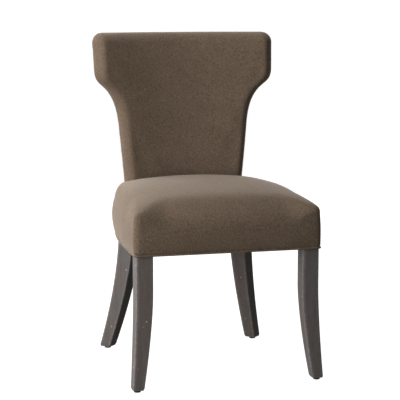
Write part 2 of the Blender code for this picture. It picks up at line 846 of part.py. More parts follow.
# Corner blocks, cut to fit between the rails and against the legs
block_low = RAIL_BOTTOM + BLOCK_RISE
block_high = block_low + BLOCK_HEIGHT
middle_of_rails = cutter(
    "inside_of_rails", prism("inside_of_rails", loop(PADDING + RAIL_THICKNESS / 2), RAIL_BOTTOM, RAIL_TOP)
)


def diagonal_block(name, side, corner, turn, near, far):
    """A board across a corner, between two depths from the leg's inner corner along its diagonal."""

    def place(u, v, z):
        along = (2 * u - 1) * BLOCK_REACH
        inward = near + (far - near) * v
        x = corner[0] + (-turn[0] * inward + turn[1] * along)
        y = corner[1] + (-turn[1] * inward - turn[0] * along)
        return Vector((side * x, y, z))

    return cells(name, place, levels=(block_low, block_high))


blocks = {}
screw_middle = (block_low + block_high) / 2
for word, side in SIDES:
    inner_corner = (FRONT_LEG_X - FRONT_LEG / 2, FRONT_LEG_Y + FRONT_LEG / 2)
    name = "front_block_" + word
    reach = BLOCK_THICKNESS * 0.9
    mesh = diagonal_block(name, side, inner_corner, (DIAGONAL, -DIAGONAL), -FRONT_LEG, reach)
    block = piece(name, mesh, *HARDWOOD)
    combine(block, middle_of_rails, "INTERSECT")
    for room in (front_rail_room, grown_rails[side], grown_front[side]):
        combine(block, room)
    blocks["front", side] = block
    inner_face = REAR_LEG / 2 + FIT
    name = "rear_block_" + word
    leg_spot = (REAR_LEG_X, REAR_LEG_Y)
    outer_face = inner_face + BLOCK_THICKNESS
    mesh = diagonal_block(name, side, leg_spot, (DIAGONAL, DIAGONAL), inner_face, outer_face)
    block = piece(name, mesh, *HARDWOOD)
    combine(block, middle_of_rails, "INTERSECT")
    for room in (rear_rail_room, grown_rails[side]):
        combine(block, room)
    blocks["rear", side] = block

# Block screws and the bolts that draw the rear legs to their blocks
for word, side in SIDES:
    diagonal = (side * DIAGONAL, -DIAGONAL, 0.0)
    corner = Vector((side * (FRONT_LEG_X - FRONT_LEG / 2), FRONT_LEG_Y + FRONT_LEG / 2, screw_middle))
    head = corner - Vector(diagonal) * (BLOCK_THICKNESS * 0.9 + FIT)
    for row, step in (("upper", FASTENER_STEP), ("lower", -FASTENER_STEP)):
        spot = head + Vector((0.0, 0.0, step))
        through = (blocks["front", side], front_legs[side])
        name = "front_block_screw_" + row + "_" + word
        fastener(name, spot, diagonal, SCREW_LENGTH, SCREW_RADIUS, SCREW_HEAD, through, STEEL)
    diagonal = (side * DIAGONAL, DIAGONAL, 0.0)
    face = Vector((side * REAR_LEG_X, REAR_LEG_Y, screw_middle))
    head = face - Vector(diagonal) * (REAR_LEG / 2 + BLOCK_THICKNESS + 2 * FIT)
    for row, step in (("upper", FASTENER_STEP), ("lower", -FASTENER_STEP)):
        spot = head + Vector((0.0, 0.0, step))
        through = (blocks["rear", side], rear_legs[side])
        name = "rear_leg_bolt_" + row + "_" + word
        fastener(name, spot, diagonal, LEG_BOLT_LENGTH, BOLT_RADIUS, BOLT_HEAD, through, STEEL)

# Back posts
frame_rear = FRAME_DEPTH + FRAME_THICKNESS
crest_top = OVERALL_HEIGHT - FRAME_MARGIN
crest_low = crest_top - CREST_HEIGHT
wing_rail_low = OVERALL_HEIGHT - WING_DEPTH + WING_RAIL_RISE
wing_rail_top = wing_rail_low + WING_RAIL_HEIGHT
post_foot = RAIL_BOTTOM + FIT
half_lap = FRAME_DEPTH + FRAME_THICKNESS / 2


def post_reach():
    """How far out a post can stand at the seat, just clear of the rear leg behind it."""
    x = WAIST / 2 - FRAME_MARGIN
    while x > POST_WIDTH:
        spot = back_point(x, FRAME_DEPTH, RAIL_TOP)
        if (spot.y - REAR_LEG_Y) - (spot.x - REAR_LEG_X) > REAR_LEG * DIAGONAL + POST_CLEAR:
            break
        x -= 0.0005
    return x


POST_REACH = post_reach()


def post_edges(side, grow=0.0):
    def edges(z):
        outer = POST_REACH + POST_FLARE * max(z - BACK_BOTTOM, 0.0)
        return side * (outer - POST_WIDTH - grow), side * (outer + grow)

    return edges


def post_tenon_edges(side, grow=0.0):
    def edges(z):
        first, second = post_edges(side)(z)
        return first + side * (TENON_SHOULDER - grow), second - side * (TENON_SHOULDER - grow)

    return edges


# Crest rail, wing rail, wing stiles, lumbar rail
crest_reach = WING_SPAN / 2 - FRAME_MARGIN - TENON_ROOT
crest_rail = piece(
    "crest_rail",
    back_board(
        "crest_rail",
        lambda z: (-crest_reach, crest_reach),
        crest_low,
        crest_top,
        FRAME_DEPTH,
        frame_rear,
        12,
    ),
    *HARDWOOD,
)
wing_reach = width_at(wing_rail_low, FRAME_MARGIN)
wing_rail = piece(
    "wing_rail",
    back_board(
        "wing_rail",
        lambda z: (-wing_reach, wing_reach),
        wing_rail_low,
        wing_rail_top,
        FRAME_DEPTH,
        frame_rear,
        12,
    ),
    *HARDWOOD,
)
lumbar_low = RAIL_TOP + LUMBAR_RISE
lumbar_top = lumbar_low + LUMBAR_HEIGHT
lumbar_rail = piece(
    "lumbar_rail",
    back_board(
        "lumbar_rail",
        lambda z: (post_edges(-1)(z)[0] + FIT, post_edges(1)(z)[0] - FIT),
        lumbar_low,
        lumbar_top,
        FRAME_DEPTH,
        frame_rear,
        8,
    ),
    *HARDWOOD,
)
posts = {}
for word, side in SIDES:
    name = "back_post_" + word
    post = piece(
        name,
        back_board(name, post_edges(side), post_foot, crest_low - FIT, FRAME_DEPTH, frame_rear, 2),
        *HARDWOOD,
    )
    posts[side] = post

    # Tenon of the post in the crest rail
    front, rear = FRAME_DEPTH + BACK_SHOULDER, frame_rear - BACK_SHOULDER
    low, high = crest_low - STUB_LENGTH, crest_low + POST_TENON
    mesh = back_board(name + "_tenon", post_tenon_edges(side), low, high, front, rear, 2)
    combine(post, cutter(name + "_tenon", mesh), "UNION")
    edges = post_tenon_edges(side, FIT)
    mesh = back_board(name + "_mortise", edges, low, high + FIT, front - FIT, rear + FIT, 2)
    combine(crest_rail, cutter(name + "_mortise", mesh))

    # Cross lap where the wing rail passes in front of half the post
    low, high = wing_rail_low - FIT, wing_rail_top + FIT
    lap_front, lap_rear = FRAME_DEPTH - STUB_LENGTH, half_lap + FIT / 2
    mesh = back_board(name + "_lap", post_edges(side, STUB_LENGTH), low, high, lap_front, lap_rear, 2)
    combine(post, cutter(name + "_lap", mesh))
    low, high = wing_rail_low - STUB_LENGTH, wing_rail_top + STUB_LENGTH
    lap_front, lap_rear = half_lap - FIT / 2, frame_rear + STUB_LENGTH
    mesh = back_board(name + "_over", post_edges(side, FIT), low, high, lap_front, lap_rear, 2)
    combine(wing_rail, cutter(name + "_over", mesh))

    # Tenon of the lumbar rail in the post
    low, high = lumbar_low + TENON_SHOULDER, lumbar_top - TENON_SHOULDER
    inner = post_edges(side)

    def tenon_edges(z, inner=inner, side=side):
        return inner(z)[0] - side * STUB_LENGTH, inner(z)[0] + side * TENON_LENGTH

    def mortise_edges(z, inner=inner, side=side):
        return inner(z)[0] - side * STUB_LENGTH, inner(z)[0] + side * (TENON_LENGTH + FIT)

    mesh = back_board(name + "_lumbar_tenon", tenon_edges, low, high, front, rear, 2)
    combine(lumbar_rail, cutter(name + "_lumbar_tenon", mesh), "UNION")
    mesh = back_board(
        name + "_lumbar_mortise", mortise_edges, low - FIT, high + FIT, front - FIT, rear + FIT, 2
    )
    combine(post, cutter(name + "_lumbar_mortise", mesh))

# Wing stiles between the crest rail and the wing rail, with stub tenons
for word, side in SIDES:
    name = "wing_stile_" + word
    outer = wing_reach - LAYER_GAP

    def stile_edges(z, side=side):
        return side * (outer - STILE_WIDTH), side * outer

    def stub_edges(z, side=side, grow=0.0):
        inner = outer - STILE_WIDTH + BACK_SHOULDER
        return side * (inner - grow), side * (outer - BACK_SHOULDER + grow)

    def stub_room(z, side=side):
        return stub_edges(z, side, FIT)

    stile = piece(
        name,
        back_board(name, stile_edges, wing_rail_top + FIT, crest_low - FIT, FRAME_DEPTH, frame_rear, 1),
        *HARDWOOD,
    )
    front, rear = FRAME_DEPTH + BACK_SHOULDER, frame_rear - BACK_SHOULDER
    low, high = wing_rail_top - STUB_LENGTH, crest_low + STUB_LENGTH
    mesh = back_board(name + "_stub", stub_edges, low, high, front, rear)
    combine(stile, cutter(name + "_stub", mesh), "UNION")
    mesh = back_board(name + "_stub_room", stub_room, low - FIT, high + FIT, front - FIT, rear + FIT)
    room = cutter(name + "_stub_room", mesh)
    combine(crest_rail, room)
    combine(wing_rail, room)

# Neck fillets that carry the curve from the posts out to the wings
for word, side in SIDES:
    name = "neck_fillet_" + word
    fillet_low = OVERALL_HEIGHT - NECK_DEPTH + FILLET_RISE

    def fillet_edges(z, side=side):
        inner = abs(post_edges(side)(z)[1]) + FIT
        outer = max(width_at(z, FRAME_MARGIN), inner + FILLET_TIP)
        return side * inner, side * min(outer, wing_reach)

    mesh = back_board(name, fillet_edges, fillet_low, wing_rail_low - FIT, FRAME_DEPTH, frame_rear, 2)
    piece(name, mesh, *HARDWOOD)

# Bolts that hold the posts to the rear rail
for word, side in SIDES:
    for row, height in (("upper", RAIL_TOP - POST_BOLT_EDGE), ("lower", RAIL_BOTTOM + POST_BOLT_EDGE)):
        x = sum(abs(edge) for edge in post_edges(side)(height)) / 2
        head = back_point(side * x, frame_rear + FIT * 0.5, height)
        direction = (back_point(side * x, 0.0, height) - head).normalized()
        name = "post_bolt_" + row + "_" + word
        length = FRAME_THICKNESS + RAIL_THICKNESS * 0.8
        spot = head + direction * FIT
        through = (posts[side], rear_rail)
        fastener(name, spot, direction, length, BOLT_RADIUS, BOLT_HEAD, through, STEEL)

# Sinuous seat springs with a clip at each end
clip_height = 2 * SPRING_WIRE + 2 * FIT
spring_low = RAIL_TOP + FIT + CLIP + FIT + SPRING_WIRE


def clip_section(mouth):
    """A strip folded over the end of a spring, seen from the side, opening towards the seat middle."""
    base = RAIL_TOP + FIT
    deep = 2 * SPRING_WIRE + CLIP_TONGUE
    plan = [
        (-CLIP, 0.0),
        (deep, 0.0),
        (deep, CLIP),
        (0.0, CLIP),
        (0.0, CLIP + clip_height),
        (deep * 0.8, CLIP + clip_height),
        (deep * 0.8, 2 * CLIP + clip_height),
        (-CLIP, 2 * CLIP + clip_height),
    ]
    return [(mouth * y, base + z) for y, z in plan]


def clip(name, x, y, mouth):
    bm = bmesh.new()
    half = CLIP_HALF_WIDTH
    section = clip_section(mouth)
    ends = [[bm.verts.new((x + step, y + dy, z)) for dy, z in section] for step in (-half, half)]
    face = bm.faces.new(ends[0])
    made = bmesh.ops.extrude_face_region(bm, geom=[face], use_keep_orig=True)["geom"]
    for vert in [item for item in made if isinstance(item, bmesh.types.BMVert)]:
        vert.co.x += 2 * half
    for vert in ends[1]:
        bm.verts.remove(vert)
    return piece(name, to_mesh(bm, name), *STEEL)


spring_front = FRONT_RAIL_BACK - RAIL_THICKNESS * 0.55
for number, share in ((1, -0.75), (2, -0.25), (3, 0.25), (4, 0.75)):
    front_x = share * front_rail_end
    rear_x = share * (REAR_LEG_X - REAR_LEG) * 1.15
    spring_rear = rear_y(rear_x, REAR_RAIL_DEPTH + RAIL_THICKNESS * 0.55)
    clear = SPRING_WIRE + FIT
    clip("spring_clip_front_" + str(number), front_x, spring_front - clear, 1)
    clip("spring_clip_rear_" + str(number), rear_x, spring_rear + clear, -1)
    points = []
    for bar in range(SPRING_BARS):
        part = bar / (SPRING_BARS - 1)
        x = front_x + (rear_x - front_x) * part
        y = spring_front + (spring_rear - spring_front) * part
        rise = math.sin(math.pi * part) * (SPRING_TOP - SPRING_WIRE - spring_low)
        z = spring_low + rise
        way = 1 if bar % 2 == 0 else -1
        reach = SPRING_HALF_WIDTH
        pitch = (spring_rear - spring_front) / (SPRING_BARS - 1)
        points.append((x - way * reach, y, z))
        points.append((x + way * reach, y, z))
        if bar < SPRING_BARS - 1:
            arch = SPRING_TOP - SPRING_WIRE - spring_low
            after = math.sin(math.pi * (bar + 1) / (SPRING_BARS - 1)) * arch
            bend = x + way * (reach + pitch * 0.4)
            points.append((bend, y + pitch / 2, spring_low + (rise + after) / 2))
    tube("seat_spring_" + str(number), points, SPRING_WIRE, *BLACK_WIRE)

# Insulator pad over the springs
pad_inset = PADDING + RAIL_THICKNESS + PAD_MARGIN
pad_rear = rear_y(0.0, REAR_RAIL_DEPTH) - PAD_SHORT
pad_loop = [(x, min(y, pad_rear)) for x, y in half_loop(pad_inset) if y < pad_rear]
pad_loop.append((pad_loop[-1][0], pad_rear))
pad_loop = pad_loop + [(-x, y) for x, y in reversed(pad_loop[1:])]
piece("insulator_pad", prism("insulator_pad", pad_loop, PAD_BOTTOM, PAD_BOTTOM + PAD), *JUTE)

# Room that the back takes out of the seat
back_room = cutter(
    "back_room",
    cells(
        "back_room",
        lambda u, v, z: back_point(
            (2 * u - 1) * (width_at(LEAN_START) + BACK_ROOM), 2 * BACK_THICKNESS * v - BACK_ROOM, z
        ),
        across=12,
        levels=(BACK_BOTTOM - BACK_ROOM / 2, LEAN_START, SEAT_CROWN + BACK_THICKNESS),
    ),
)

# Seat cover, a sewn skin open below
rings, tip = cushion_rings(0.0, COVER_BOTTOM)
seat_cover = piece("seat_cover", loft("seat_cover", rings, tip, False), *TAUPE)
skin = seat_cover.modifiers.new("cloth", "SOLIDIFY")
skin.thickness = FABRIC
skin.offset = -1.0
skin.use_even_offset = True
combine(seat_cover, back_room)

# Seat foam, on the rails and over the insulator pad, with a skirt down the outside of the rails
foam_bottom = RAIL_BOTTOM + SKIRT_RISE
rings, tip = cushion_rings(FABRIC + FOAM_GAP, foam_bottom)
seat_foam = piece("seat_foam", loft("seat_foam", rings, tip, True), *FOAM)


def open_rear(inset, last_y):
    """The seat outline moved inward, splayed out behind last_y so that a cut runs clear of the rear."""
    right = [(x, y) for x, y in half_loop(inset) if y < last_y]
    edge_x, edge_y = right[-1]
    wide = edge_x + BACK_THICKNESS
    right += [(wide, edge_y + RAIL_THICKNESS), (wide, edge_y + 3 * BACK_THICKNESS)]
    right.append((0.0, edge_y + 3 * BACK_THICKNESS))
    return right + [(-x, y) for x, y in reversed(right[1:-1])]


frame_plan = open_rear(PADDING - FIT, REAR_CORNER_Y + RAIL_THICKNESS)
frame_room = cutter("frame_room", prism("frame_room", frame_plan, COVER_BOTTOM, RAIL_TOP + FIT))
combine(seat_foam, frame_room)
well_plan = open_rear(PADDING + WELL_MARGIN, REAR_CORNER_Y + RAIL_THICKNESS / 2)
well_top = PAD_BOTTOM + PAD + FIT
well = cutter("spring_room", prism("spring_room", well_plan, RAIL_TOP - SKIRT_RISE, well_top))
combine(seat_foam, well)
combine(seat_foam, back_room)
for side in (-1, 1):
    combine(seat_foam, grown_front[side])

# Welt cord along the hem of the seat cover
hem = loop(-2 * FIT)
hem_z = COVER_BOTTOM - FIT - WELT
welt_points = [(x, y, hem_z) for x, y in hem]
welt = tube("seat_welt", welt_points, WELT, *TAUPE)
welt.data.splines[0].use_cyclic_u = True
welt.data.use_fill_caps = False

# Dust sheet under the frame, cut out for the legs
sheet_top = RAIL_BOTTOM - FIT
sheet_mesh = prism("dust_sheet", loop(2 * WELT + FABRIC), sheet_top - DUST_SHEET, sheet_top)
sheet = piece("dust_sheet", sheet_mesh, *BLACK_SHEET)
for word, side in SIDES:
    combine(sheet, grown_front[side])
    combine(sheet, grown_rear[side])
    start = Vector((REAR_LEG_X, REAR_LEG_Y)) + Vector((DIAGONAL, DIAGONAL)) * TENON_SHOULDER
    across = Vector((-DIAGONAL, DIAGONAL)) * CORNER_FADE
    out = Vector((DIAGONAL, DIAGONAL)) * CORNER_FADE
    corners = (start - across, start - across + out, start + across + out, start + across)
    name = "dust_sheet_corner_" + word
    plan = [(side * point.x, point.y) for point in corners]
    combine(sheet, cutter(name, prism(name, plan, sheet_top - 2 * DUST_SHEET, sheet_top + DUST_SHEET)))

# Webbing straps across the front of the back posts
strap_rear = FRAME_DEPTH - FIT
for number, share in enumerate(STRAP_PLACES, 1):
    name = "back_strap_" + str(number)
    height = SEAT_CROWN + (OVERALL_HEIGHT - SEAT_CROWN) * share

    def strap_edges(z):
        reach = abs(post_edges(1)(height)[1]) - PAD_MARGIN
        return -reach, reach

    low, high = height - STRAP_WIDTH / 2, height + STRAP_WIDTH / 2
    mesh = back_board(name, strap_edges, low, high, strap_rear - STRAP, strap_rear, 12)
    piece(name, mesh, *JUTE)

# Back foam
foam_rear = strap_rear - STRAP - LAYER_GAP
back_foam = piece(
    "back_foam",
    back_form("back_foam", FABRIC + FOAM_GAP, BACK_EDGE, foam_rear, BACK_BOTTOM, True),
    *FOAM,
)

# Inside back cover, drawn over the front, the sides and the top
inside_cover = piece(
    "inside_back_cover",
    back_form("inside_back_cover", 0.0, BACK_EDGE, BACK_THICKNESS, BACK_BOTTOM, False),
    *TAUPE,
)
skin = inside_cover.modifiers.new("cloth", "SOLIDIFY")
skin.thickness = FABRIC
skin.offset = -1.0

# Outside back panel, set in the rear edge of the inside cover
panel_rear = BACK_THICKNESS - 0.0004
outside_cover = piece(
    "outside_back_cover",
    slab("outside_back_cover", FABRIC + LAYER_GAP / 2, frame_rear + LAYER_GAP, panel_rear, BACK_BOTTOM),
    *TAUPE,
)
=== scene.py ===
import json
import math

import bmesh
import bpy
import numpy as np
from mathutils import Matrix, Vector
from mathutils.geometry import delaunay_2d_cdt, interpolate_bezier


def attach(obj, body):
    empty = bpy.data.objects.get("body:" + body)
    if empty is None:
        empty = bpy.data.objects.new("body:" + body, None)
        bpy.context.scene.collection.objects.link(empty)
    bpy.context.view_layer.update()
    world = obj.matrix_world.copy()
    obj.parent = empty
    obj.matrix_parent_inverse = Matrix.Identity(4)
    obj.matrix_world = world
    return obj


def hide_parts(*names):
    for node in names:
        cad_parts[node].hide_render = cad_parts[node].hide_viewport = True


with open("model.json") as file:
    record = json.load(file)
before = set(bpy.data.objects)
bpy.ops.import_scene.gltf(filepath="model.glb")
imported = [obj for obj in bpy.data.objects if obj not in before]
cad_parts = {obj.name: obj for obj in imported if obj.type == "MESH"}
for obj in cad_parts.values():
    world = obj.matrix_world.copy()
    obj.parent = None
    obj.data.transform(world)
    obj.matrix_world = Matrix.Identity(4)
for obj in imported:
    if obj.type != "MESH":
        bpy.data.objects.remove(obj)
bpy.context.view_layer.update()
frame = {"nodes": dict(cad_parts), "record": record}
BODY = "root"
SIDES = (("left", -1), ("right", 1))

# Seat outline, in metres
SEAT_FRONT_Y = -0.2791
SEAT_WIDTH = 0.535
SEAT_DEPTH = 0.477
SEAT_TAPER = 0.0162
SEAT_CURVE = 0.0375
SIDE_START = 0.013
FRONT_CORNER = 0.012
UPPER_CORNER = 0.015
REAR_CORNER_START = 0.460
REAR_CORNER_END = 0.165
REAR_CORNER_PULL = 0.62
REAR_WALL_RADIUS = 0.900

# Seat surface: how the top falls from its crown, how its edge rolls over, and how its walls swell
HEM_Z = 0.3785
RAIL_BOTTOM = 0.377
SEAT_CROWN = 0.5415
CROWN_PLACE = 0.62
MIDDLE_PLACE = 0.55
SIDE_FALL = 0.019
FRONT_FALL = 0.031
REAR_SHARE = 0.8
SIDE_ROLL = 0.036
SIDE_DROP = 0.042
FRONT_ROLL = 0.130
FRONT_DROP = 0.064
FRONT_EASE = 0.67
CORNER_ROUND = 0.012
CORNER_FADE = 0.160
FRONT_FADE = 0.110
REAR_FADE = 0.045
SIDE_BULGE = 0.013
BULGE_START = 0.12
BULGE_RUN = 0.70
SIDE_LEAST = 0.2
FRONT_BULGE = 0.003
FRONT_FULLNESS = 8
FRONT_LEAST = 0.1
TUCK_DEPTH = 0.016
TUCK_WIDTH = 0.014
TUCK_RISE = 0.03
SEAM_ANGLE = math.radians(50)

# Welt and dust cloth
WELT = 0.0028
WELT_SET = 0.0010
WELT_DROP = 0.0006
DUST_MARGIN = 0.0016
DUST_GAP = 0.0008
DUST_SAG = 0.004
DUST_CURVE = 0.7
DUST_HALF_X = 0.26
DUST_HALF_Y = 0.25
LEG_ROOM = 0.001
REAR_LEG_ROOM = 0.004

# Back outline
OVERALL_HEIGHT = 0.965
BACK_MIDDLE_Z = 0.780
BACK_BOTTOM = 0.460
BACK_FOOT = 0.453
BACK_ROOM = 0.0012
BACK_RADIUS = 0.650
BACK_LEAN = 0.034
LEAN_START = 0.550
LEAN_CURVE = 1.5
WAIST = 0.332
WAIST_FLARE = 0.088
WING_SPAN = 0.520
WING_DEPTH = 0.1565
WING_CORNER = 0.028
WING_SIDE_IN = 0.0025
WING_SIDE_SLOPE = Vector((0.02, 1.0))
NECK_DEPTH = 0.275
KNEE_SLOPE = Vector((0.766, 0.643))

# Curve from the neck out to the wing, in shares of how far the wing stands out
NECK_PULL = 0.85
KNEE_OUT = 0.66
KNEE_PULL_BELOW = 0.45
KNEE_PULL_ABOVE = 0.28
WING_SIDE_RISE = 0.70
WING_SIDE_PULL = 0.38

# Back edge and rear panel
BACK_THICKNESS = 0.055
SIDE_EDGE = 0.015
TOP_EDGE = 0.026
EDGE_DEPTH = 0.043
REAR_EDGE = 0.010
EDGE_PROUD = 0.0018
PANEL_INSET = 0.0080
PANEL_PROUD = 0.0012
PANEL_TURN = 0.003

# Legs
LEG_TOP = 0.440
FRONT_LEG = 0.047
FRONT_FOOT_X = 0.031
FRONT_FOOT_Y = 0.033
FRONT_SWEEP_TOP = 0.270
FRONT_OUT = 0.022
FRONT_FORWARD = 0.018
REAR_LEG = 0.054
REAR_FOOT = 0.036
REAR_SWEEP = 0.088
LEG_CURVE = 1.55
LEG_BOTTOM = 0.0063
LEG_PADDING = 0.006
REAR_LEG_X = 0.1726
REAR_LEG_SET = 0.0051
LEG_ARRIS = 0.0022
LEG_EDGE_ANGLE = math.radians(35)
FOOT_CHAMFER = 0.0015
WEAR_WIDTH = 0.007
FOOT_WEAR = 0.006
DIAGONAL = math.sqrt(0.5)

# Places that follow from these sizes
SEAT_REAR_Y = SEAT_FRONT_Y + SEAT_DEPTH
SIDE_START_Y = SEAT_FRONT_Y + SIDE_START
FRONT_LEG_X = SEAT_WIDTH / 2 - LEG_PADDING - FRONT_LEG / 2
FRONT_LEG_Y = SEAT_FRONT_Y + LEG_PADDING + FRONT_LEG / 2
REAR_LEG_Y = SEAT_REAR_Y - REAR_LEG_SET
BACK_AXIS_Y = SEAT_REAR_Y - BACK_RADIUS
WALL_AXIS_Y = SEAT_REAR_Y + BACK_THICKNESS - REAR_WALL_RADIUS
CROWN_Y = SEAT_FRONT_Y + SEAT_DEPTH * CROWN_PLACE
SEAT_MIDDLE = Vector((0.0, SEAT_FRONT_Y + SEAT_DEPTH * MIDDLE_PLACE))
BACK_MIDDLE = Vector((0.0, BACK_MIDDLE_Z))

# Fineness of the meshes: points of an outline, steps across a surface, and grids
WELD = 0.0002
CORNER_STEPS = 8
SIDE_STEPS = 40
REAR_STEPS = 12
REAR_CORNER_POINTS = 20
SEAT_POINTS = 220
WALL_STEPS = 12
ROLL_STEPS = 18
TOP_STEPS = 20
SHOULDER_POINTS = 24
UNDER_POINTS = 20
WING_STEPS = 12
BACK_POINTS = 260
FACE_STEPS = 24
EDGE_STEPS = 14
REAR_EDGE_STEPS = 5
ROOM_STEPS = 24
PANEL_STEPS = 6
PANEL_GRID = 0.010
DUST_POINTS = 120
DUST_GRID = 0.012
LEG_STEPS = 72
ARRIS_STEPS = 3
FLAT_STEPS = 6

# Padding made by simulation
VOXEL = 0.0045
PRESSURE = 4.0
LAST_FRAME = 20
SEAT_CAP = 0.0025
BACK_CAP = 0.004
MOVE_ROUNDS = 60
HEM_HELD = 0.006
REAR_HELD = 0.012
FOOT_HELD = 0.03


# Helpers for meshes
def new_object(name, mesh):
    obj = bpy.data.objects.new(name, mesh)
    bpy.context.scene.collection.objects.link(obj)
    return obj


def finished(bm, name, smooth=True):
    """A mesh from bm, facing out, shaded smooth or flat."""
    bmesh.ops.recalc_face_normals(bm, faces=bm.faces)
    mesh = bpy.data.meshes.new(name)
    bm.to_mesh(mesh)
    bm.free()
    if smooth:
        mesh.shade_smooth()
    return mesh


def even(points, count):
    """The open line through the points, as count points at even steps."""
    points = [Vector(point) for point in points]
    lengths = [0.0]
    for a, b in zip(points, points[1:]):
        lengths.append(lengths[-1] + (b - a).length)
    result = []
    place = 0
    for i in range(count):
        target = lengths[-1] * i / (count - 1)
        while place < len(points) - 2 and lengths[place + 1] < target:
            place += 1
        span = lengths[place + 1] - lengths[place]
        share = (target - lengths[place]) / span if span else 0.0
        result.append(points[place].lerp(points[place + 1], min(share, 1.0)))
    return result


def mirrored(half):
    """A closed line from its right half, which runs from the middle to the middle."""
    left = [Vector((-point.x, point.y)) for point in reversed(half[1:-1])]
    return half + left


def inward_normals(line):
    """Normals of a closed counterclockwise line, pointing in."""
    normals = []
    for i in range(len(line)):
        along = line[(i + 1) % len(line)] - line[i - 1]
        normals.append(Vector((-along.y, along.x)).normalized())
    return normals


def quarter(step, steps):
    """The angle after some of the steps of a quarter turn."""
    return math.radians(90 * step / steps)


def skin(bm, rows):
    """Faces between closed rows of points, each joined to the next."""
    count = len(rows[0])
    for lower, upper in zip(rows, rows[1:]):
        for i in range(count):
            j = (i + 1) % count
            bm.faces.new((lower[i], lower[j], upper[j], upper[i]))


def loft(name, rings, first_tip, last_tip):
    """A closed skin through rings of equal count, ended by a fan at each tip."""
    bm = bmesh.new()
    rows = [[bm.verts.new(co) for co in ring] for ring in rings]
    skin(bm, rows)
    for row, tip in ((rows[0], first_tip), (rows[-1], last_tip)):
        end = bm.verts.new(tip)
        for i in range(len(row)):
            bm.faces.new((row[i], row[(i + 1) % len(row)], end))
    return finished(bm, name)


def filled(outline, step):
    """Points and triangles that fill a closed outline, on a grid."""
    count = len(outline)
    edges = [(i, (i + 1) % count) for i in range(count)]
    columns = int(max(point.x for point in outline) / step) + 1
    low = min(point.y for point in outline)
    rows = int((max(point.y for point in outline) - low) / step)
    inside = []
    for i in range(-columns, columns + 1):
        inside += [Vector((i * step, low + (j + 0.5) * step)) for j in range(rows)]
    points, _, faces, *_ = delaunay_2d_cdt(outline + inside, edges, [list(range(count))], 1, 1e-5)
    return points, faces


def add_faces(bm, verts, faces):
    """Faces from lists of numbers into verts."""
    for face in faces:
        bm.faces.new([verts[i] for i in face])


def drop_loose(bm):
    """Deletes the points that no face uses."""
    loose = [vert for vert in bm.verts if not vert.link_faces]
    bmesh.ops.delete(bm, geom=loose, context="VERTS")


def smooth_step(value):
    value = min(max(value, 0.0), 1.0)
    return value * value * (3 - 2 * value)


def apply_modifiers(obj):
    """Puts what the modifiers make in place of the mesh."""
    graph = bpy.context.evaluated_depsgraph_get()
    mesh = bpy.data.meshes.new_from_object(obj.evaluated_get(graph))
    obj.modifiers.clear()
    old = obj.data
    obj.data = mesh
    bpy.data.meshes.remove(old)
    mesh.shade_smooth()


def weld(obj):
    """Joins points that lie nearly on each other."""
    bm = bmesh.new()
    bm.from_mesh(obj.data)
    bmesh.ops.remove_doubles(bm, verts=bm.verts, dist=WELD)
    bm.to_mesh(obj.data)
    bm.free()


def remesh(obj):
    """Gives the form an even mesh for the cloth simulation."""
    modifier = obj.modifiers.new("remesh", "REMESH")
    modifier.mode = "VOXEL"
    modifier.voxel_size = VOXEL
    smooth = obj.modifiers.new("smooth", "SMOOTH")
    smooth.factor = 0.5
    smooth.iterations = 4
    apply_modifiers(obj)


def spread(mesh, moves, rounds):
    """Evens out the moves of a mesh's points, each towards the mean of its neighbours."""
    ends = np.empty(len(mesh.edges) * 2, dtype=np.int64)
    mesh.edges.foreach_get("vertices", ends)
    first, second = ends[0::2], ends[1::2]
    count = np.bincount(ends, minlength=len(moves))[:, None]
    for _ in range(rounds):
        total = np.zeros_like(moves)
        np.add.at(total, first, moves[second])
        np.add.at(total, second, moves[first])
        moves = 0.5 * moves + 0.5 * total / count
    return moves


def swell(obj, held, cap):
    """Blows the padding up as a cloth bag held at some points; its moves level off at cap."""
    rest = np.array([vertex.co for vertex in obj.data.vertices])
    group = obj.vertex_groups.new(name="held")
    group.add([vertex.index for vertex in obj.data.vertices if held(vertex.co)], 1.0, "REPLACE")
    cloth = obj.modifiers.new("cloth", "CLOTH")
    settings = cloth.settings
    settings.quality = 5
    settings.mass = 0.3
    settings.tension_stiffness = 15.0
    settings.compression_stiffness = 15.0
    settings.shear_stiffness = 5.0
    settings.bending_stiffness = 5.0
    settings.use_pressure = True
    settings.uniform_pressure_force = PRESSURE
    settings.vertex_group_mass = group.name
    settings.effector_weights.gravity = 0.0
    cloth.collision_settings.use_collision = False
    scene = bpy.context.scene
    for number in range(1, LAST_FRAME + 1):
        scene.frame_set(number)
    apply_modifiers(obj)
    scene.frame_set(1)
    moves = np.array([vertex.co for vertex in obj.data.vertices]) - rest
    length = np.linalg.norm(moves, axis=1, keepdims=True) + 1e-9
    moves = spread(obj.data, moves * cap * np.tanh(length / cap) / length, MOVE_ROUNDS)
    obj.data.vertices.foreach_set("co", (rest + moves).ravel())
    obj.data.update()


# Seat outline
def side_x(y):
    run = (y - SIDE_START_Y) / SEAT_DEPTH
    return SEAT_WIDTH / 2 - SEAT_TAPER * run - SEAT_CURVE * run**3


def side_slope(y):
    run = (y - SIDE_START_Y) / SEAT_DEPTH
    return -(SEAT_TAPER + 3 * SEAT_CURVE * run**2) / SEAT_DEPTH


def rear_wall(x):
    return WALL_AXIS_Y + math.sqrt(REAR_WALL_RADIUS**2 - x * x)


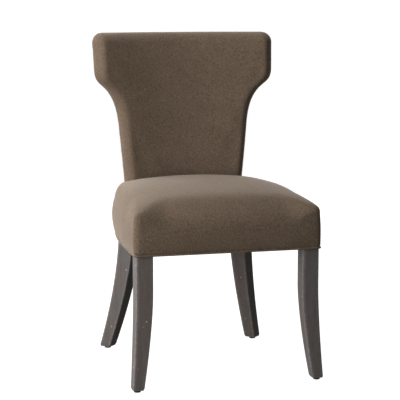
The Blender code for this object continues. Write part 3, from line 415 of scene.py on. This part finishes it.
def rear_corner():
    """The rounded rear corner, from the side to the rear wall."""
    start_y = SEAT_FRONT_Y + REAR_CORNER_START
    start = Vector((side_x(start_y), start_y))
    end = Vector((REAR_CORNER_END, rear_wall(REAR_CORNER_END)))
    along = Vector((side_slope(start.y), 1.0))
    back = Vector((1.0, -end.x / (end.y - WALL_AXIS_Y)))
    gap = end - start
    reach = (gap.x * back.y - gap.y * back.x) / (along.x * back.y - along.y * back.x)
    corner = start + along * reach
    pulls = [point.lerp(corner, REAR_CORNER_PULL) for point in (start, end)]
    return interpolate_bezier(start, *pulls, end, REAR_CORNER_POINTS)


def seat_loop(half_count, corner=FRONT_CORNER):
    """The seat outline, counterclockwise, from the front middle, with its front corners rounded."""
    half = [Vector((0.0, SEAT_FRONT_Y))]
    edge = side_x(SEAT_FRONT_Y + corner)
    for i in range(CORNER_STEPS + 1):
        turn = quarter(i, CORNER_STEPS)
        x = edge - corner + corner * math.sin(turn)
        half.append(Vector((x, SEAT_FRONT_Y + corner - corner * math.cos(turn))))
    for i in range(1, SIDE_STEPS):
        y = SEAT_FRONT_Y + corner + (REAR_CORNER_START - corner) * i / SIDE_STEPS
        half.append(Vector((side_x(y), y)))
    half += [Vector((point.x, point.y)) for point in rear_corner()]
    for i in reversed(range(REAR_STEPS)):
        x = REAR_CORNER_END * i / REAR_STEPS
        half.append(Vector((x, rear_wall(x))))
    return mirrored(even(half, half_count))


# Seat surface
def crown(x, y):
    """Height of the seat's top before its edge is rolled."""
    across = x / (SEAT_WIDTH / 2)
    along = (y - CROWN_Y) / (CROWN_Y - SEAT_FRONT_Y)
    if along > 0:
        along *= REAR_SHARE
    return SEAT_CROWN - SIDE_FALL * across**2 - FRONT_FALL * along**2


def on_front(y):
    return y < SEAT_FRONT_Y + UPPER_CORNER / 2


def from_corner(x, y, fade):
    """0 at the sewn front corners, rising to 1 away from them."""
    return smooth_step(math.hypot(abs(x) - SEAT_WIDTH / 2, y - SEAT_FRONT_Y) / fade)


def edge_round(x, y):
    """How far the top edge is rounded, inward and downward: least at the front corners."""
    if on_front(y):
        across, down, fade = FRONT_ROLL, FRONT_DROP, FRONT_FADE
    else:
        across, down, fade = SIDE_ROLL, SIDE_DROP, CORNER_FADE
    share = from_corner(x, y, fade)
    return CORNER_ROUND + (across - CORNER_ROUND) * share, CORNER_ROUND + (down - CORNER_ROUND) * share


def side_swell(x, y, rise):
    """How far the wall stands out: least at the sewn front corners and along the flat rear wall."""
    if on_front(y):
        fullness = FRONT_LEAST + (1 - FRONT_LEAST) * from_corner(x, y, FRONT_FADE)
        return FRONT_BULGE * (1 - (1 - rise) ** FRONT_FULLNESS) * fullness
    curve = math.sin(math.pi * (BULGE_START + BULGE_RUN * rise)) - math.sin(math.pi * BULGE_START)
    fullness = from_corner(x, y, CORNER_FADE)
    if y > CROWN_Y:
        fullness *= min(max((abs(x) - REAR_CORNER_END) / REAR_FADE, 0.0), 1.0)
    return SIDE_BULGE * curve * (SIDE_LEAST + (1 - SIDE_LEAST) * fullness)


def seat_rings():
    """Rings of the seat from the hem to the crown."""
    rings = []
    for step in range(WALL_STEPS + 1):
        share = step / WALL_STEPS
        rim = seat_loop(SEAT_POINTS, FRONT_CORNER + (UPPER_CORNER - FRONT_CORNER) * share)
        normals = inward_normals(rim)
        ring = []
        for point, inward in zip(rim, normals):
            foot = crown(*point) - edge_round(*point)[1]
            place = point - inward * side_swell(point.x, point.y, share)
            ring.append(Vector((place.x, place.y, HEM_Z + (foot - HEM_Z) * share)))
        rings.append(ring)
    wall = rings[-1]
    for step in range(1, ROLL_STEPS + 1):
        angle = quarter(step, ROLL_STEPS)
        ring = []
        for point, inward, top in zip(rim, normals, wall):
            across, down = edge_round(*point)
            ease = FRONT_EASE if on_front(point.y) else 1.0
            place = top.xy + inward * across * (1 - math.cos(angle) ** ease)
            ring.append(Vector((place.x, place.y, crown(*place) - down * (1 - math.sin(angle)))))
        rings.append(ring)
    inner = rings[-1]
    for step in range(1, TOP_STEPS):
        ring = []
        for point in inner:
            place = SEAT_MIDDLE + (point.xy - SEAT_MIDDLE) * (1 - step / TOP_STEPS)
            ring.append(Vector((place.x, place.y, crown(*place))))
        rings.append(ring)
    return rings


# Back surface
def lean(z):
    """How far the back has leaned to the rear at a height."""
    run = max(z - LEAN_START, 0.0) / (OVERALL_HEIGHT - LEAN_START)
    return BACK_LEAN * run**LEAN_CURVE


def back_point(x, depth, z):
    """A point of the back: x and height as seen from the front, depth behind the front surface."""
    radius = BACK_RADIUS + lean(z)
    turn = math.asin(x / radius)
    reach = radius + depth
    return Vector((reach * math.sin(turn), BACK_AXIS_Y + reach * math.cos(turn), z))


def back_place(co):
    """The x, depth and height of a point in space, the reverse of back_point."""
    radius = BACK_RADIUS + lean(co.z)
    away = Vector((co.x, co.y - BACK_AXIS_Y))
    return radius * away.x / away.length, away.length - radius, co.z


def waist_at(z):
    """Half the width of the back at a height below its wings."""
    return WAIST / 2 + WAIST_FLARE * (z - BACK_BOTTOM)


def back_half():
    """The edge of the right half of the back, from the bottom middle to the top middle."""
    neck_z = OVERALL_HEIGHT - NECK_DEPTH
    neck = waist_at(neck_z)
    wing = WING_SPAN / 2
    wing_z = OVERALL_HEIGHT - WING_DEPTH
    reach = wing - neck
    start = Vector((neck, neck_z))
    knee = Vector((neck + KNEE_OUT * reach, wing_z))
    side = Vector((wing - WING_SIDE_IN, wing_z + reach * WING_SIDE_RISE))
    first = start + Vector((WAIST_FLARE, 1.0)) * reach * NECK_PULL
    below = knee - KNEE_SLOPE * reach * KNEE_PULL_BELOW
    above = knee + KNEE_SLOPE * reach * KNEE_PULL_ABOVE
    last = side - WING_SIDE_SLOPE * reach * WING_SIDE_PULL
    line = [Vector((0.0, BACK_FOOT)), Vector((waist_at(BACK_FOOT), BACK_FOOT))]
    shoulder = interpolate_bezier(start, first, below, knee, SHOULDER_POINTS)
    under = interpolate_bezier(knee, above, last, side, UNDER_POINTS)
    line += [point.xy for point in shoulder[:-1] + under]
    top = OVERALL_HEIGHT - WING_CORNER
    for i in range(WING_STEPS + 1):
        turn = quarter(i, WING_STEPS)
        out = wing - WING_CORNER + WING_CORNER * math.cos(turn)
        line.append(Vector((out, top + WING_CORNER * math.sin(turn))))
    line.append(Vector((0.0, OVERALL_HEIGHT)))
    return line


BACK_LOOP = mirrored(even(back_half(), BACK_POINTS))
BACK_NORMALS = inward_normals(BACK_LOOP)


def level(inset):
    """The same inset all along the edge of the back."""
    return [inset] * len(BACK_LOOP)


def rolled():
    """How far the front of the back rolls in from its edge: most along the top."""
    return [SIDE_EDGE + (TOP_EDGE - SIDE_EDGE) * max(-inward.y, 0.0) ** 2 for inward in BACK_NORMALS]


def flat_ring(insets, share=1.0):
    """The edge of the back, seen from the front, moved in by insets and drawn towards its middle."""
    ring = []
    for point, inward, inset in zip(BACK_LOOP, BACK_NORMALS, insets):
        place = point + inward * inset
        if point.y < BACK_FOOT + BACK_ROOM:
            place.y = BACK_FOOT
        ring.append(BACK_MIDDLE + (place - BACK_MIDDLE) * share)
    return ring


def back_ring(insets, depth, share=1.0):
    """A ring of the back, bent round its axis, at a depth behind its front."""
    return [back_point(place.x, depth, place.y) for place in flat_ring(insets, share)]


def back_rings():
    """Rings of the back from its front middle, round the edge, to its rear middle."""
    rings = [back_ring(rolled(), 0.0, step / FACE_STEPS) for step in range(1, FACE_STEPS + 1)]
    for step in range(1, EDGE_STEPS + 1):
        angle = quarter(step, EDGE_STEPS)
        insets = [inset * (1 - math.sin(angle)) - EDGE_PROUD for inset in rolled()]
        rings.append(back_ring(insets, EDGE_DEPTH * (1 - math.cos(angle))))
    rear = BACK_THICKNESS - REAR_EDGE
    for step in range(REAR_EDGE_STEPS + 1):
        angle = quarter(step, REAR_EDGE_STEPS)
        inset = REAR_EDGE * (1 - math.cos(angle)) - EDGE_PROUD
        rings.append(back_ring(level(inset), rear + REAR_EDGE * math.sin(angle)))
    inset = REAR_EDGE - EDGE_PROUD
    for step in range(1, FACE_STEPS):
        rings.append(back_ring(level(inset), BACK_THICKNESS, 1 - step / FACE_STEPS))
    return rings


# Materials: procedural, in object coordinates, with grain stretched along some pieces
UNSTRETCHED = (1.0, 1.0, 1.0)
ALONG_LEG = (1.0, 1.0, 0.06)


def node_material(name):
    material = bpy.data.materials.new(name)
    material.use_nodes = True
    nodes = material.node_tree.nodes
    nodes.clear()
    output = nodes.new("ShaderNodeOutputMaterial")
    shader = nodes.new("ShaderNodeBsdfPrincipled")
    material.node_tree.links.new(shader.outputs["BSDF"], output.inputs["Surface"])
    return material, material.node_tree, shader


def place_node(tree, scale):
    """Object coordinates, stretched by scale along each axis."""
    coordinate = tree.nodes.new("ShaderNodeTexCoord")
    mapping = tree.nodes.new("ShaderNodeMapping")
    mapping.inputs["Scale"].default_value = scale
    tree.links.new(coordinate.outputs["Object"], mapping.inputs["Vector"])
    return mapping.outputs["Vector"]


def noise_node(tree, place, scale, detail, roughness=0.5):
    node = tree.nodes.new("ShaderNodeTexNoise")
    node.inputs["Scale"].default_value = scale
    node.inputs["Detail"].default_value = detail
    node.inputs["Roughness"].default_value = roughness
    tree.links.new(place, node.inputs["Vector"])
    return node.outputs["Fac"]


def ramp_node(tree, value, stops):
    """A colour ramp; stops are (position, colour)."""
    node = tree.nodes.new("ShaderNodeValToRGB")
    while len(node.color_ramp.elements) < len(stops):
        node.color_ramp.elements.new(0.5)
    for element, (position, colour) in zip(node.color_ramp.elements, stops):
        element.position = position
        element.color = (*colour, 1.0)
    tree.links.new(value, node.inputs["Fac"])
    return node.outputs["Color"]


def mix_node(tree, factor, first, second, blend="MIX"):
    """Mixes two colour sockets; factor is a socket or a number."""
    node = tree.nodes.new("ShaderNodeMix")
    node.data_type = "RGBA"
    node.blend_type = blend
    if isinstance(factor, float):
        node.inputs["Factor"].default_value = factor
    else:
        tree.links.new(factor, node.inputs["Factor"])
    tree.links.new(first, node.inputs["A"])
    tree.links.new(second, node.inputs["B"])
    return node.outputs["Result"]


def bump_node(tree, shader, height, strength, distance):
    node = tree.nodes.new("ShaderNodeBump")
    node.inputs["Strength"].default_value = strength
    node.inputs["Distance"].default_value = distance
    tree.links.new(height, node.inputs["Height"])
    tree.links.new(node.outputs["Normal"], shader.inputs["Normal"])


def grey(value):
    return (value, value, value)


def shade(colour, share):
    return tuple(part * share for part in colour)


def cloth_material(name, colour, sheen):
    """Brushed wool-like cloth: a fine mottle of fibres over slow changes of tone, with a soft sheen."""
    material, tree, shader = node_material(name)
    place = place_node(tree, UNSTRETCHED)
    fibre = noise_node(tree, place, 900.0, 4.0, 0.65)
    mottle = noise_node(tree, place, 230.0, 3.0, 0.6)
    drift = noise_node(tree, place, 14.0, 2.0)
    base = ramp_node(tree, fibre, [(0.30, shade(colour, 0.66)), (0.70, shade(colour, 1.34))])
    patches = ramp_node(tree, mottle, [(0.32, grey(0.70)), (0.50, grey(1.0)), (0.68, grey(1.30))])
    slow = ramp_node(tree, drift, [(0.30, grey(0.94)), (0.70, grey(1.05))])
    tone = mix_node(tree, 1.0, base, patches, "MULTIPLY")
    tone = mix_node(tree, 1.0, tone, slow, "MULTIPLY")
    tree.links.new(tone, shader.inputs["Base Color"])
    shader.inputs["Roughness"].default_value = 0.95
    shader.inputs["Specular IOR Level"].default_value = 0.15
    shader.inputs["Sheen Weight"].default_value = sheen
    shader.inputs["Sheen Roughness"].default_value = 0.40
    shader.inputs["Sheen Tint"].default_value = (1.0, 0.87, 0.75, 1.0)
    bump_node(tree, shader, fibre, 0.35, 0.0006)
    return material


def leg_material(name):
    """Dark stained wood with fine grain, paler where its edges are rubbed, and bare in small flecks."""
    material, tree, shader = node_material(name)
    place = place_node(tree, ALONG_LEG)
    even_place = place_node(tree, UNSTRETCHED)
    grain = noise_node(tree, place, 420.0, 5.0, 0.6)
    band = noise_node(tree, place, 60.0, 3.0)
    speck = noise_node(tree, even_place, 120.0, 4.0, 0.7)
    drift = noise_node(tree, even_place, 9.0, 2.0)
    base = ramp_node(tree, grain, [(0.30, (0.115, 0.100, 0.093)), (0.70, (0.158, 0.139, 0.131))])
    streak = ramp_node(tree, band, [(0.35, grey(0.93)), (0.65, grey(1.07))])
    stain = ramp_node(tree, drift, [(0.4, (1.05, 0.98, 0.96)), (0.6, (0.96, 1.0, 1.0))])
    tone = mix_node(tree, 1.0, base, streak, "MULTIPLY")
    tone = mix_node(tree, 1.0, tone, stain, "MULTIPLY")
    worn = tree.nodes.new("ShaderNodeAttribute")
    worn.attribute_name = "wear"
    rubbed = tree.nodes.new("ShaderNodeMath")
    rubbed.operation = "MULTIPLY"
    tree.links.new(worn.outputs["Fac"], rubbed.inputs[0])
    tree.links.new(speck, rubbed.inputs[1])
    pale = ramp_node(tree, speck, [(0.3, (0.19, 0.175, 0.165)), (0.7, (0.31, 0.290, 0.277))])
    tone = mix_node(tree, rubbed.outputs["Value"], tone, pale)
    dots = tree.nodes.new("ShaderNodeTexVoronoi")
    dots.inputs["Scale"].default_value = 38.0
    tree.links.new(even_place, dots.inputs["Vector"])
    fleck = ramp_node(tree, dots.outputs["Distance"], [(0.060, grey(1.0)), (0.085, grey(0.0))])
    bare = ramp_node(tree, speck, [(0.3, (0.48, 0.45, 0.42)), (0.7, (0.66, 0.62, 0.58))])
    tone = mix_node(tree, fleck, tone, bare)
    tree.links.new(tone, shader.inputs["Base Color"])
    rough = ramp_node(tree, grain, [(0.3, grey(0.62)), (0.7, grey(0.46))])
    tree.links.new(rough, shader.inputs["Roughness"])
    shader.inputs["Specular IOR Level"].default_value = 0.35
    bump_node(tree, shader, grain, 0.15, 0.0004)
    return material


def plain_material(name, dark, light, scale, stretch, roughness, metallic=0.0):
    """A grained or mottled finish for pieces inside the chair."""
    material, tree, shader = node_material(name)
    place = place_node(tree, stretch)
    grain = noise_node(tree, place, scale, 4.0, 0.6)
    tree.links.new(ramp_node(tree, grain, [(0.3, dark), (0.7, light)]), shader.inputs["Base Color"])
    shader.inputs["Roughness"].default_value = roughness
    shader.inputs["Metallic"].default_value = metallic
    bump_node(tree, shader, grain, 0.2, 0.0004)
    return material


TAUPE = (0.160, 0.115, 0.080)
CLOTH = cloth_material("taupe_cloth", TAUPE, 0.40)
LEG_WOOD = leg_material("dark_leg_wood")
DUST_CLOTH = plain_material(
    "black_dust_cloth", (0.012, 0.012, 0.013), (0.030, 0.030, 0.032), 700.0, UNSTRETCHED, 0.95
)
INNER = {
    "frame_hardwood": plain_material(
        "frame_hardwood", (0.30, 0.19, 0.10), (0.46, 0.32, 0.19), 90.0, (1.0, 1.0, 0.2), 0.7
    ),
    "steel": plain_material("zinc_steel", grey(0.42), grey(0.58), 400.0, UNSTRETCHED, 0.35, 1.0),
    "spring_wire": plain_material("black_wire", grey(0.03), grey(0.06), 500.0, UNSTRETCHED, 0.45, 1.0),
    "jute": plain_material("jute", (0.28, 0.19, 0.10), (0.48, 0.35, 0.21), 600.0, (1.0, 1.0, 0.3), 0.95),
    "glide_plastic": plain_material("glide_plastic", grey(0.012), grey(0.022), 300.0, UNSTRETCHED, 0.5),
}


# Seat upholstery: one crowned closed form, swelled as a bag held at its hem
def seat_held(co):
    return co.z < HEM_Z + HEM_HELD


def tuck(obj):
    """Draws the seat cover down where it goes in beside and in front of the back."""
    for vertex in obj.data.vertices:
        co = vertex.co
        if co.z < BACK_BOTTOM or co.y < CROWN_Y:
            continue
        x, depth, _ = back_place(Vector((co.x, co.y, LEAN_START)))
        away = math.hypot(max(abs(x) - waist_at(co.z), 0.0), max(-depth, 0.0))
        near = math.exp(-((away / TUCK_WIDTH) ** 2))
        co.z -= TUCK_DEPTH * near * smooth_step((co.z - BACK_BOTTOM) / TUCK_RISE)


def back_room():
    """A curved block, a little larger than the foot of the back, to be taken out of the seat."""
    bm = bmesh.new()
    front, rear = -BACK_ROOM, 2 * BACK_THICKNESS
    foot, head = BACK_FOOT - BACK_ROOM, LEAN_START + BACK_THICKNESS
    rows = []
    for depth, z in ((front, foot), (rear, foot), (rear, head), (front, head)):
        half = waist_at(z) + BACK_ROOM
        places = [half * (2 * i / ROOM_STEPS - 1) for i in range(ROOM_STEPS + 1)]
        rows.append([bm.verts.new(back_point(x, depth, z)) for x in places])
    for first, second in zip(rows, rows[1:] + rows[:1]):
        for i in range(ROOM_STEPS):
            bm.faces.new((first[i], first[i + 1], second[i + 1], second[i]))
    for end in (0, -1):
        bm.faces.new([row[end] for row in rows])
    return new_object("back_room", finished(bm, "back_room", False))


seat = new_object(
    "seat_upholstery",
    loft(
        "seat_upholstery",
        seat_rings(),
        Vector((0.0, SEAT_MIDDLE.y, HEM_Z)),
        Vector((0.0, SEAT_MIDDLE.y, crown(*SEAT_MIDDLE))),
    ),
)
remesh(seat)
swell(seat, seat_held, SEAT_CAP)
tuck(seat)
room = back_room()
cut = seat.modifiers.new("back_room", "BOOLEAN")
cut.object = room
cut.operation = "DIFFERENCE"
apply_modifiers(seat)
weld(seat)
bpy.data.objects.remove(room)
seat.data.set_sharp_from_angle(angle=SEAM_ANGLE)
seat.data.materials.append(CLOTH)
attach(seat, BODY)
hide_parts("seat_cover", "seat_foam")


# Back upholstery: the inside back with its edges, swelled as a bag held along its rear
def back_held(co):
    _, depth, z = back_place(co)
    return depth > BACK_THICKNESS - REAR_HELD or z < BACK_BOTTOM + FOOT_HELD


back = new_object(
    "inside_back_upholstery",
    loft(
        "inside_back_upholstery",
        back_rings(),
        back_point(0.0, 0.0, BACK_MIDDLE.y),
        back_point(0.0, BACK_THICKNESS, BACK_MIDDLE.y),
    ),
)
remesh(back)
swell(back, back_held, BACK_CAP)
back.data.materials.append(CLOTH)
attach(back, BODY)
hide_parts("inside_back_cover", "back_foam")


# Outside back: a panel with a turned edge, stitched on behind
def panel_mesh():
    low, high = BACK_THICKNESS - PANEL_TURN, BACK_THICKNESS + PANEL_PROUD
    turn = high - low
    edge = []
    for step in range(PANEL_STEPS + 1):
        angle = quarter(step, PANEL_STEPS)
        inset = PANEL_INSET + turn * (1 - math.cos(angle))
        edge.append((flat_ring(level(inset)), low + turn * math.sin(angle)))
    bm = bmesh.new()
    rows = [[bm.verts.new(back_point(place.x, depth, place.y)) for place in ring] for ring, depth in edge]
    skin(bm, rows)
    for ring, depth in (edge[0], edge[-1]):
        points, faces = filled(ring, PANEL_GRID)
        verts = [bm.verts.new(back_point(place.x, depth, place.y)) for place in points]
        add_faces(bm, verts, faces)
    drop_loose(bm)
    bmesh.ops.remove_doubles(bm, verts=bm.verts, dist=WELD)
    bmesh.ops.holes_fill(bm, edges=bm.edges, sides=4)
    return finished(bm, "outside_back_panel")


panel = new_object("outside_back_panel", panel_mesh())
panel.data.materials.append(CLOTH)
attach(panel, BODY)
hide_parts("outside_back_cover")

# Welt cord along the hem
rim = seat_loop(SEAT_POINTS)
welt_data = bpy.data.curves.new("seat_welt_cord", "CURVE")
welt_data.dimensions = "3D"
welt_data.bevel_depth = WELT
welt_data.bevel_resolution = 4
spline = welt_data.splines.new("POLY")
spline.points.add(len(rim) - 1)
for point, place, inward in zip(spline.points, rim, inward_normals(rim)):
    spot = place + inward * WELT_SET
    point.co = (spot.x, spot.y, HEM_Z - WELT_DROP, 1.0)
spline.use_cyclic_u = True
welt = new_object("seat_welt_cord", welt_data)
welt_data.materials.append(CLOTH)
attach(welt, BODY)
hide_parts("seat_welt")


# Dust cloth under the seat frame, cut out for the legs, sagging a little
def dust_outline():
    """Its edge: inside the welt, square round the front legs and with a point round the rear ones."""
    inset = 2 * WELT + DUST_MARGIN
    rim = seat_loop(DUST_POINTS)
    line = [point + inward * inset for point, inward in zip(rim, inward_normals(rim))][:DUST_POINTS]
    room = FRONT_LEG / 2 + LEG_ROOM
    leg_in, leg_rear = FRONT_LEG_X - room, FRONT_LEG_Y + room
    diamond = REAR_LEG * DIAGONAL + LEG_ROOM
    half = [Vector((0.0, line[0].y)), Vector((leg_in, line[0].y)), Vector((leg_in, leg_rear))]
    side_end = REAR_LEG_Y - REAR_LEG_ROOM
    side = [point for point in line if point.x > leg_in and leg_rear < point.y < side_end]
    half += [Vector((side[0].x, leg_rear))] + side[1:]
    half += [
        Vector((REAR_LEG_X + diamond, REAR_LEG_Y)),
        Vector((REAR_LEG_X, REAR_LEG_Y - diamond)),
        Vector((REAR_LEG_X - diamond, REAR_LEG_Y)),
    ]
    rear = [point for point in line if point.x < REAR_LEG_X - diamond and point.y > CROWN_Y]
    half += [Vector((REAR_LEG_X - diamond, rear[0].y))] + rear
    return mirrored(half)


def dust_cloth():
    points, faces = filled(dust_outline(), DUST_GRID)
    bm = bmesh.new()
    verts = []
    for point in points:
        across = max(1 - (point.x / DUST_HALF_X) ** 2, 0.0)
        along = max(1 - (point.y / DUST_HALF_Y) ** 2, 0.0)
        sag = DUST_SAG * min(across, along) ** DUST_CURVE
        verts.append(bm.verts.new((point.x, point.y, RAIL_BOTTOM - DUST_GAP - sag)))
    add_faces(bm, verts, faces)
    drop_loose(bm)
    area = sum(face.calc_area() for face in bm.faces)
    return new_object("under_dust_cloth", finished(bm, "under_dust_cloth")), area


dust, dust_area = dust_cloth()
dust.data.materials.append(DUST_CLOTH)
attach(dust, BODY)
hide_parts("dust_sheet")


# Legs, with softened edges that are rubbed paler
def leg_section(half_x, half_y, arris):
    """A square with rounded corners, as offsets from its middle, with how near each is to a corner."""
    points = []
    for corner in range(4):
        turn = math.radians(90 * corner)
        away = Matrix.Rotation(turn, 2)
        wide, tall = (half_x, half_y) if corner % 2 == 0 else (half_y, half_x)
        for i in range(ARRIS_STEPS + 1):
            angle = quarter(i, ARRIS_STEPS)
            spot = Vector((wide - arris + arris * math.cos(angle), tall - arris + arris * math.sin(angle)))
            points.append((away @ spot, 1.0))
        for i in range(1, FLAT_STEPS):
            share = i / FLAT_STEPS
            spot = Vector((wide - arris - 2 * (wide - arris) * share, tall))
            points.append((away @ spot, max(0.0, 1 - min(share, 1 - share) * 2 * wide / WEAR_WIDTH)))
    return points


def front_leg_row(z):
    """Middle and half sizes of a front leg at a height, for the right side."""
    sweep = max(0.0, 1 - z / FRONT_SWEEP_TOP) ** LEG_CURVE
    half_x = (FRONT_LEG + (FRONT_FOOT_X - FRONT_LEG) * sweep) / 2
    half_y = (FRONT_LEG + (FRONT_FOOT_Y - FRONT_LEG) * sweep) / 2
    return Vector((FRONT_LEG_X + FRONT_OUT * sweep, FRONT_LEG_Y - FRONT_FORWARD * sweep)), half_x, half_y


def rear_leg_row(z):
    """The same of a rear leg, whose sides stand at 45 degrees."""
    run = max(0.0, 1 - z / RAIL_BOTTOM)
    half = (REAR_LEG + (REAR_FOOT - REAR_LEG) * run) / 2
    sweep = REAR_SWEEP * run**LEG_CURVE
    return Vector((REAR_LEG_X + sweep * DIAGONAL, REAR_LEG_Y + sweep * DIAGONAL)), half, half


def leg_mesh(name, side, row, turned):
    bm = bmesh.new()
    wear = bm.verts.layers.float.new("wear")
    turn = Matrix.Rotation(math.radians(45 if turned else 0), 2)
    rows = []
    for i in range(LEG_STEPS + 1):
        z = LEG_BOTTOM + (LEG_TOP - LEG_BOTTOM) * i / LEG_STEPS
        middle, half_x, half_y = row(z)
        shrink = FOOT_CHAMFER if i == 0 else 0.0
        ring = []
        for spot, edge in leg_section(half_x - shrink, half_y - shrink, LEG_ARRIS):
            place = middle + turn @ spot
            vert = bm.verts.new((side * place.x, place.y, z))
            vert[wear] = max(edge, 1 - (z - LEG_BOTTOM) / FOOT_WEAR)
            ring.append(vert)
        rows.append(ring)
    skin(bm, rows)
    bm.faces.new(rows[0])
    bm.faces.new(rows[-1])
    return finished(bm, name)


for word, side in SIDES:
    for end, row, turned in (("front", front_leg_row, False), ("rear", rear_leg_row, True)):
        name = end + "_leg_" + word
        leg = new_object("worn_" + name, leg_mesh("worn_" + name, side, row, turned))
        leg.data.set_sharp_from_angle(angle=LEG_EDGE_ANGLE)
        leg.data.materials.append(LEG_WOOD)
        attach(leg, BODY)
        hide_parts(name)

# Finishes of the pieces inside the chair
for item in frame["record"]["subparts"]:
    finish = INNER.get(item["material_slot"])
    if finish:
        node = frame["nodes"][item["node"]]
        node.data.materials.clear()
        node.data.materials.append(finish)

# Camera at the photo's viewing angle
CAMERA_PLACE = Vector((-1.1193, -4.0319, 1.0772))
CAMERA_YAW = 0.2689
CAMERA_PITCH = 0.1407
CAMERA_LENS = 130.5
SENSOR_WIDTH = 36.0
camera_data = bpy.data.cameras.new("camera")
camera_data.lens = CAMERA_LENS
camera_data.sensor_width = SENSOR_WIDTH
camera = new_object("camera", camera_data)
camera.location = CAMERA_PLACE
camera.rotation_euler = (math.pi / 2 - CAMERA_PITCH, 0.0, -CAMERA_YAW)
bpy.context.scene.camera = camera


# Stage: a white floor and a white surround that only the camera sees
FLOOR_HALF = 9.0
FLOOR_GAP = 0.0005
SURROUND_RADIUS = 10.0


def glow_material(name, strength, colour):
    material, _, shader = node_material(name)
    shader.inputs["Base Color"].default_value = (*colour, 1.0)
    shader.inputs["Roughness"].default_value = 1.0
    shader.inputs["Specular IOR Level"].default_value = 0.0
    shader.inputs["Emission Color"].default_value = (1.0, 1.0, 1.0, 1.0)
    shader.inputs["Emission Strength"].default_value = strength
    return material


def only_for_camera(obj):
    obj.visible_diffuse = False
    obj.visible_glossy = False
    obj.visible_transmission = False
    obj.visible_shadow = False


bm = bmesh.new()
bmesh.ops.create_grid(bm, x_segments=1, y_segments=1, size=FLOOR_HALF)
floor = new_object("floor", finished(bm, "floor", False))
floor.location.z = -FLOOR_GAP
floor.data.materials.append(glow_material("floor_white", 0.97, grey(0.25)))
only_for_camera(floor)
bm = bmesh.new()
bmesh.ops.create_uvsphere(bm, u_segments=48, v_segments=24, radius=SURROUND_RADIUS)
surround = new_object("surround", finished(bm, "surround"))
surround.data.materials.append(glow_material("surround_white", 1.05, grey(0.0)))
only_for_camera(surround)


# Light: soft boxes to the left, in front and above, and broad bright walls behind the chair
AT_SEAT = Vector((0.0, 0.0, 0.5))
AT_BACK = Vector((0.0, 0.0, 0.6))


def soft_box(name, place, target, width, height, power):
    data = bpy.data.lights.new(name, "AREA")
    data.shape = "RECTANGLE"
    data.size = width
    data.size_y = height
    data.energy = power
    light = new_object(name, data)
    light.location = place
    light.rotation_euler = (target - Vector(place)).to_track_quat("-Z", "Y").to_euler()


soft_box("left_key", (-2.3, -1.2, 1.05), AT_SEAT, 1.4, 2.2, 41.0)
soft_box("left_side", (-2.5, -0.1, 1.05), AT_SEAT, 1.4, 2.2, 12.0)
soft_box("front_fill", (-0.9, -3.4, 1.2), AT_SEAT, 1.8, 2.2, 18.0)
soft_box("rear_wall", (0.0, 3.0, 1.3), AT_BACK, 5.0, 2.6, 97.0)
soft_box("rear_left_wall", (-2.4, 2.0, 1.2), AT_BACK, 2.4, 2.4, 60.0)
soft_box("upper_left", (-1.3, -0.3, 2.5), AT_SEAT, 1.6, 1.6, 22.0)
soft_box("upper_rear", (0.0, 1.2, 2.6), AT_SEAT, 3.0, 2.0, 11.0)
world = bpy.data.worlds.new("fill")
world.use_nodes = True
background = world.node_tree.nodes["Background"]
background.inputs["Color"].default_value = (1.0, 0.98, 0.95, 1.0)
background.inputs["Strength"].default_value = 0.105
bpy.context.scene.world = world
bpy.context.scene.view_settings.view_transform = "Standard"
bpy.context.scene.view_settings.look = "None"
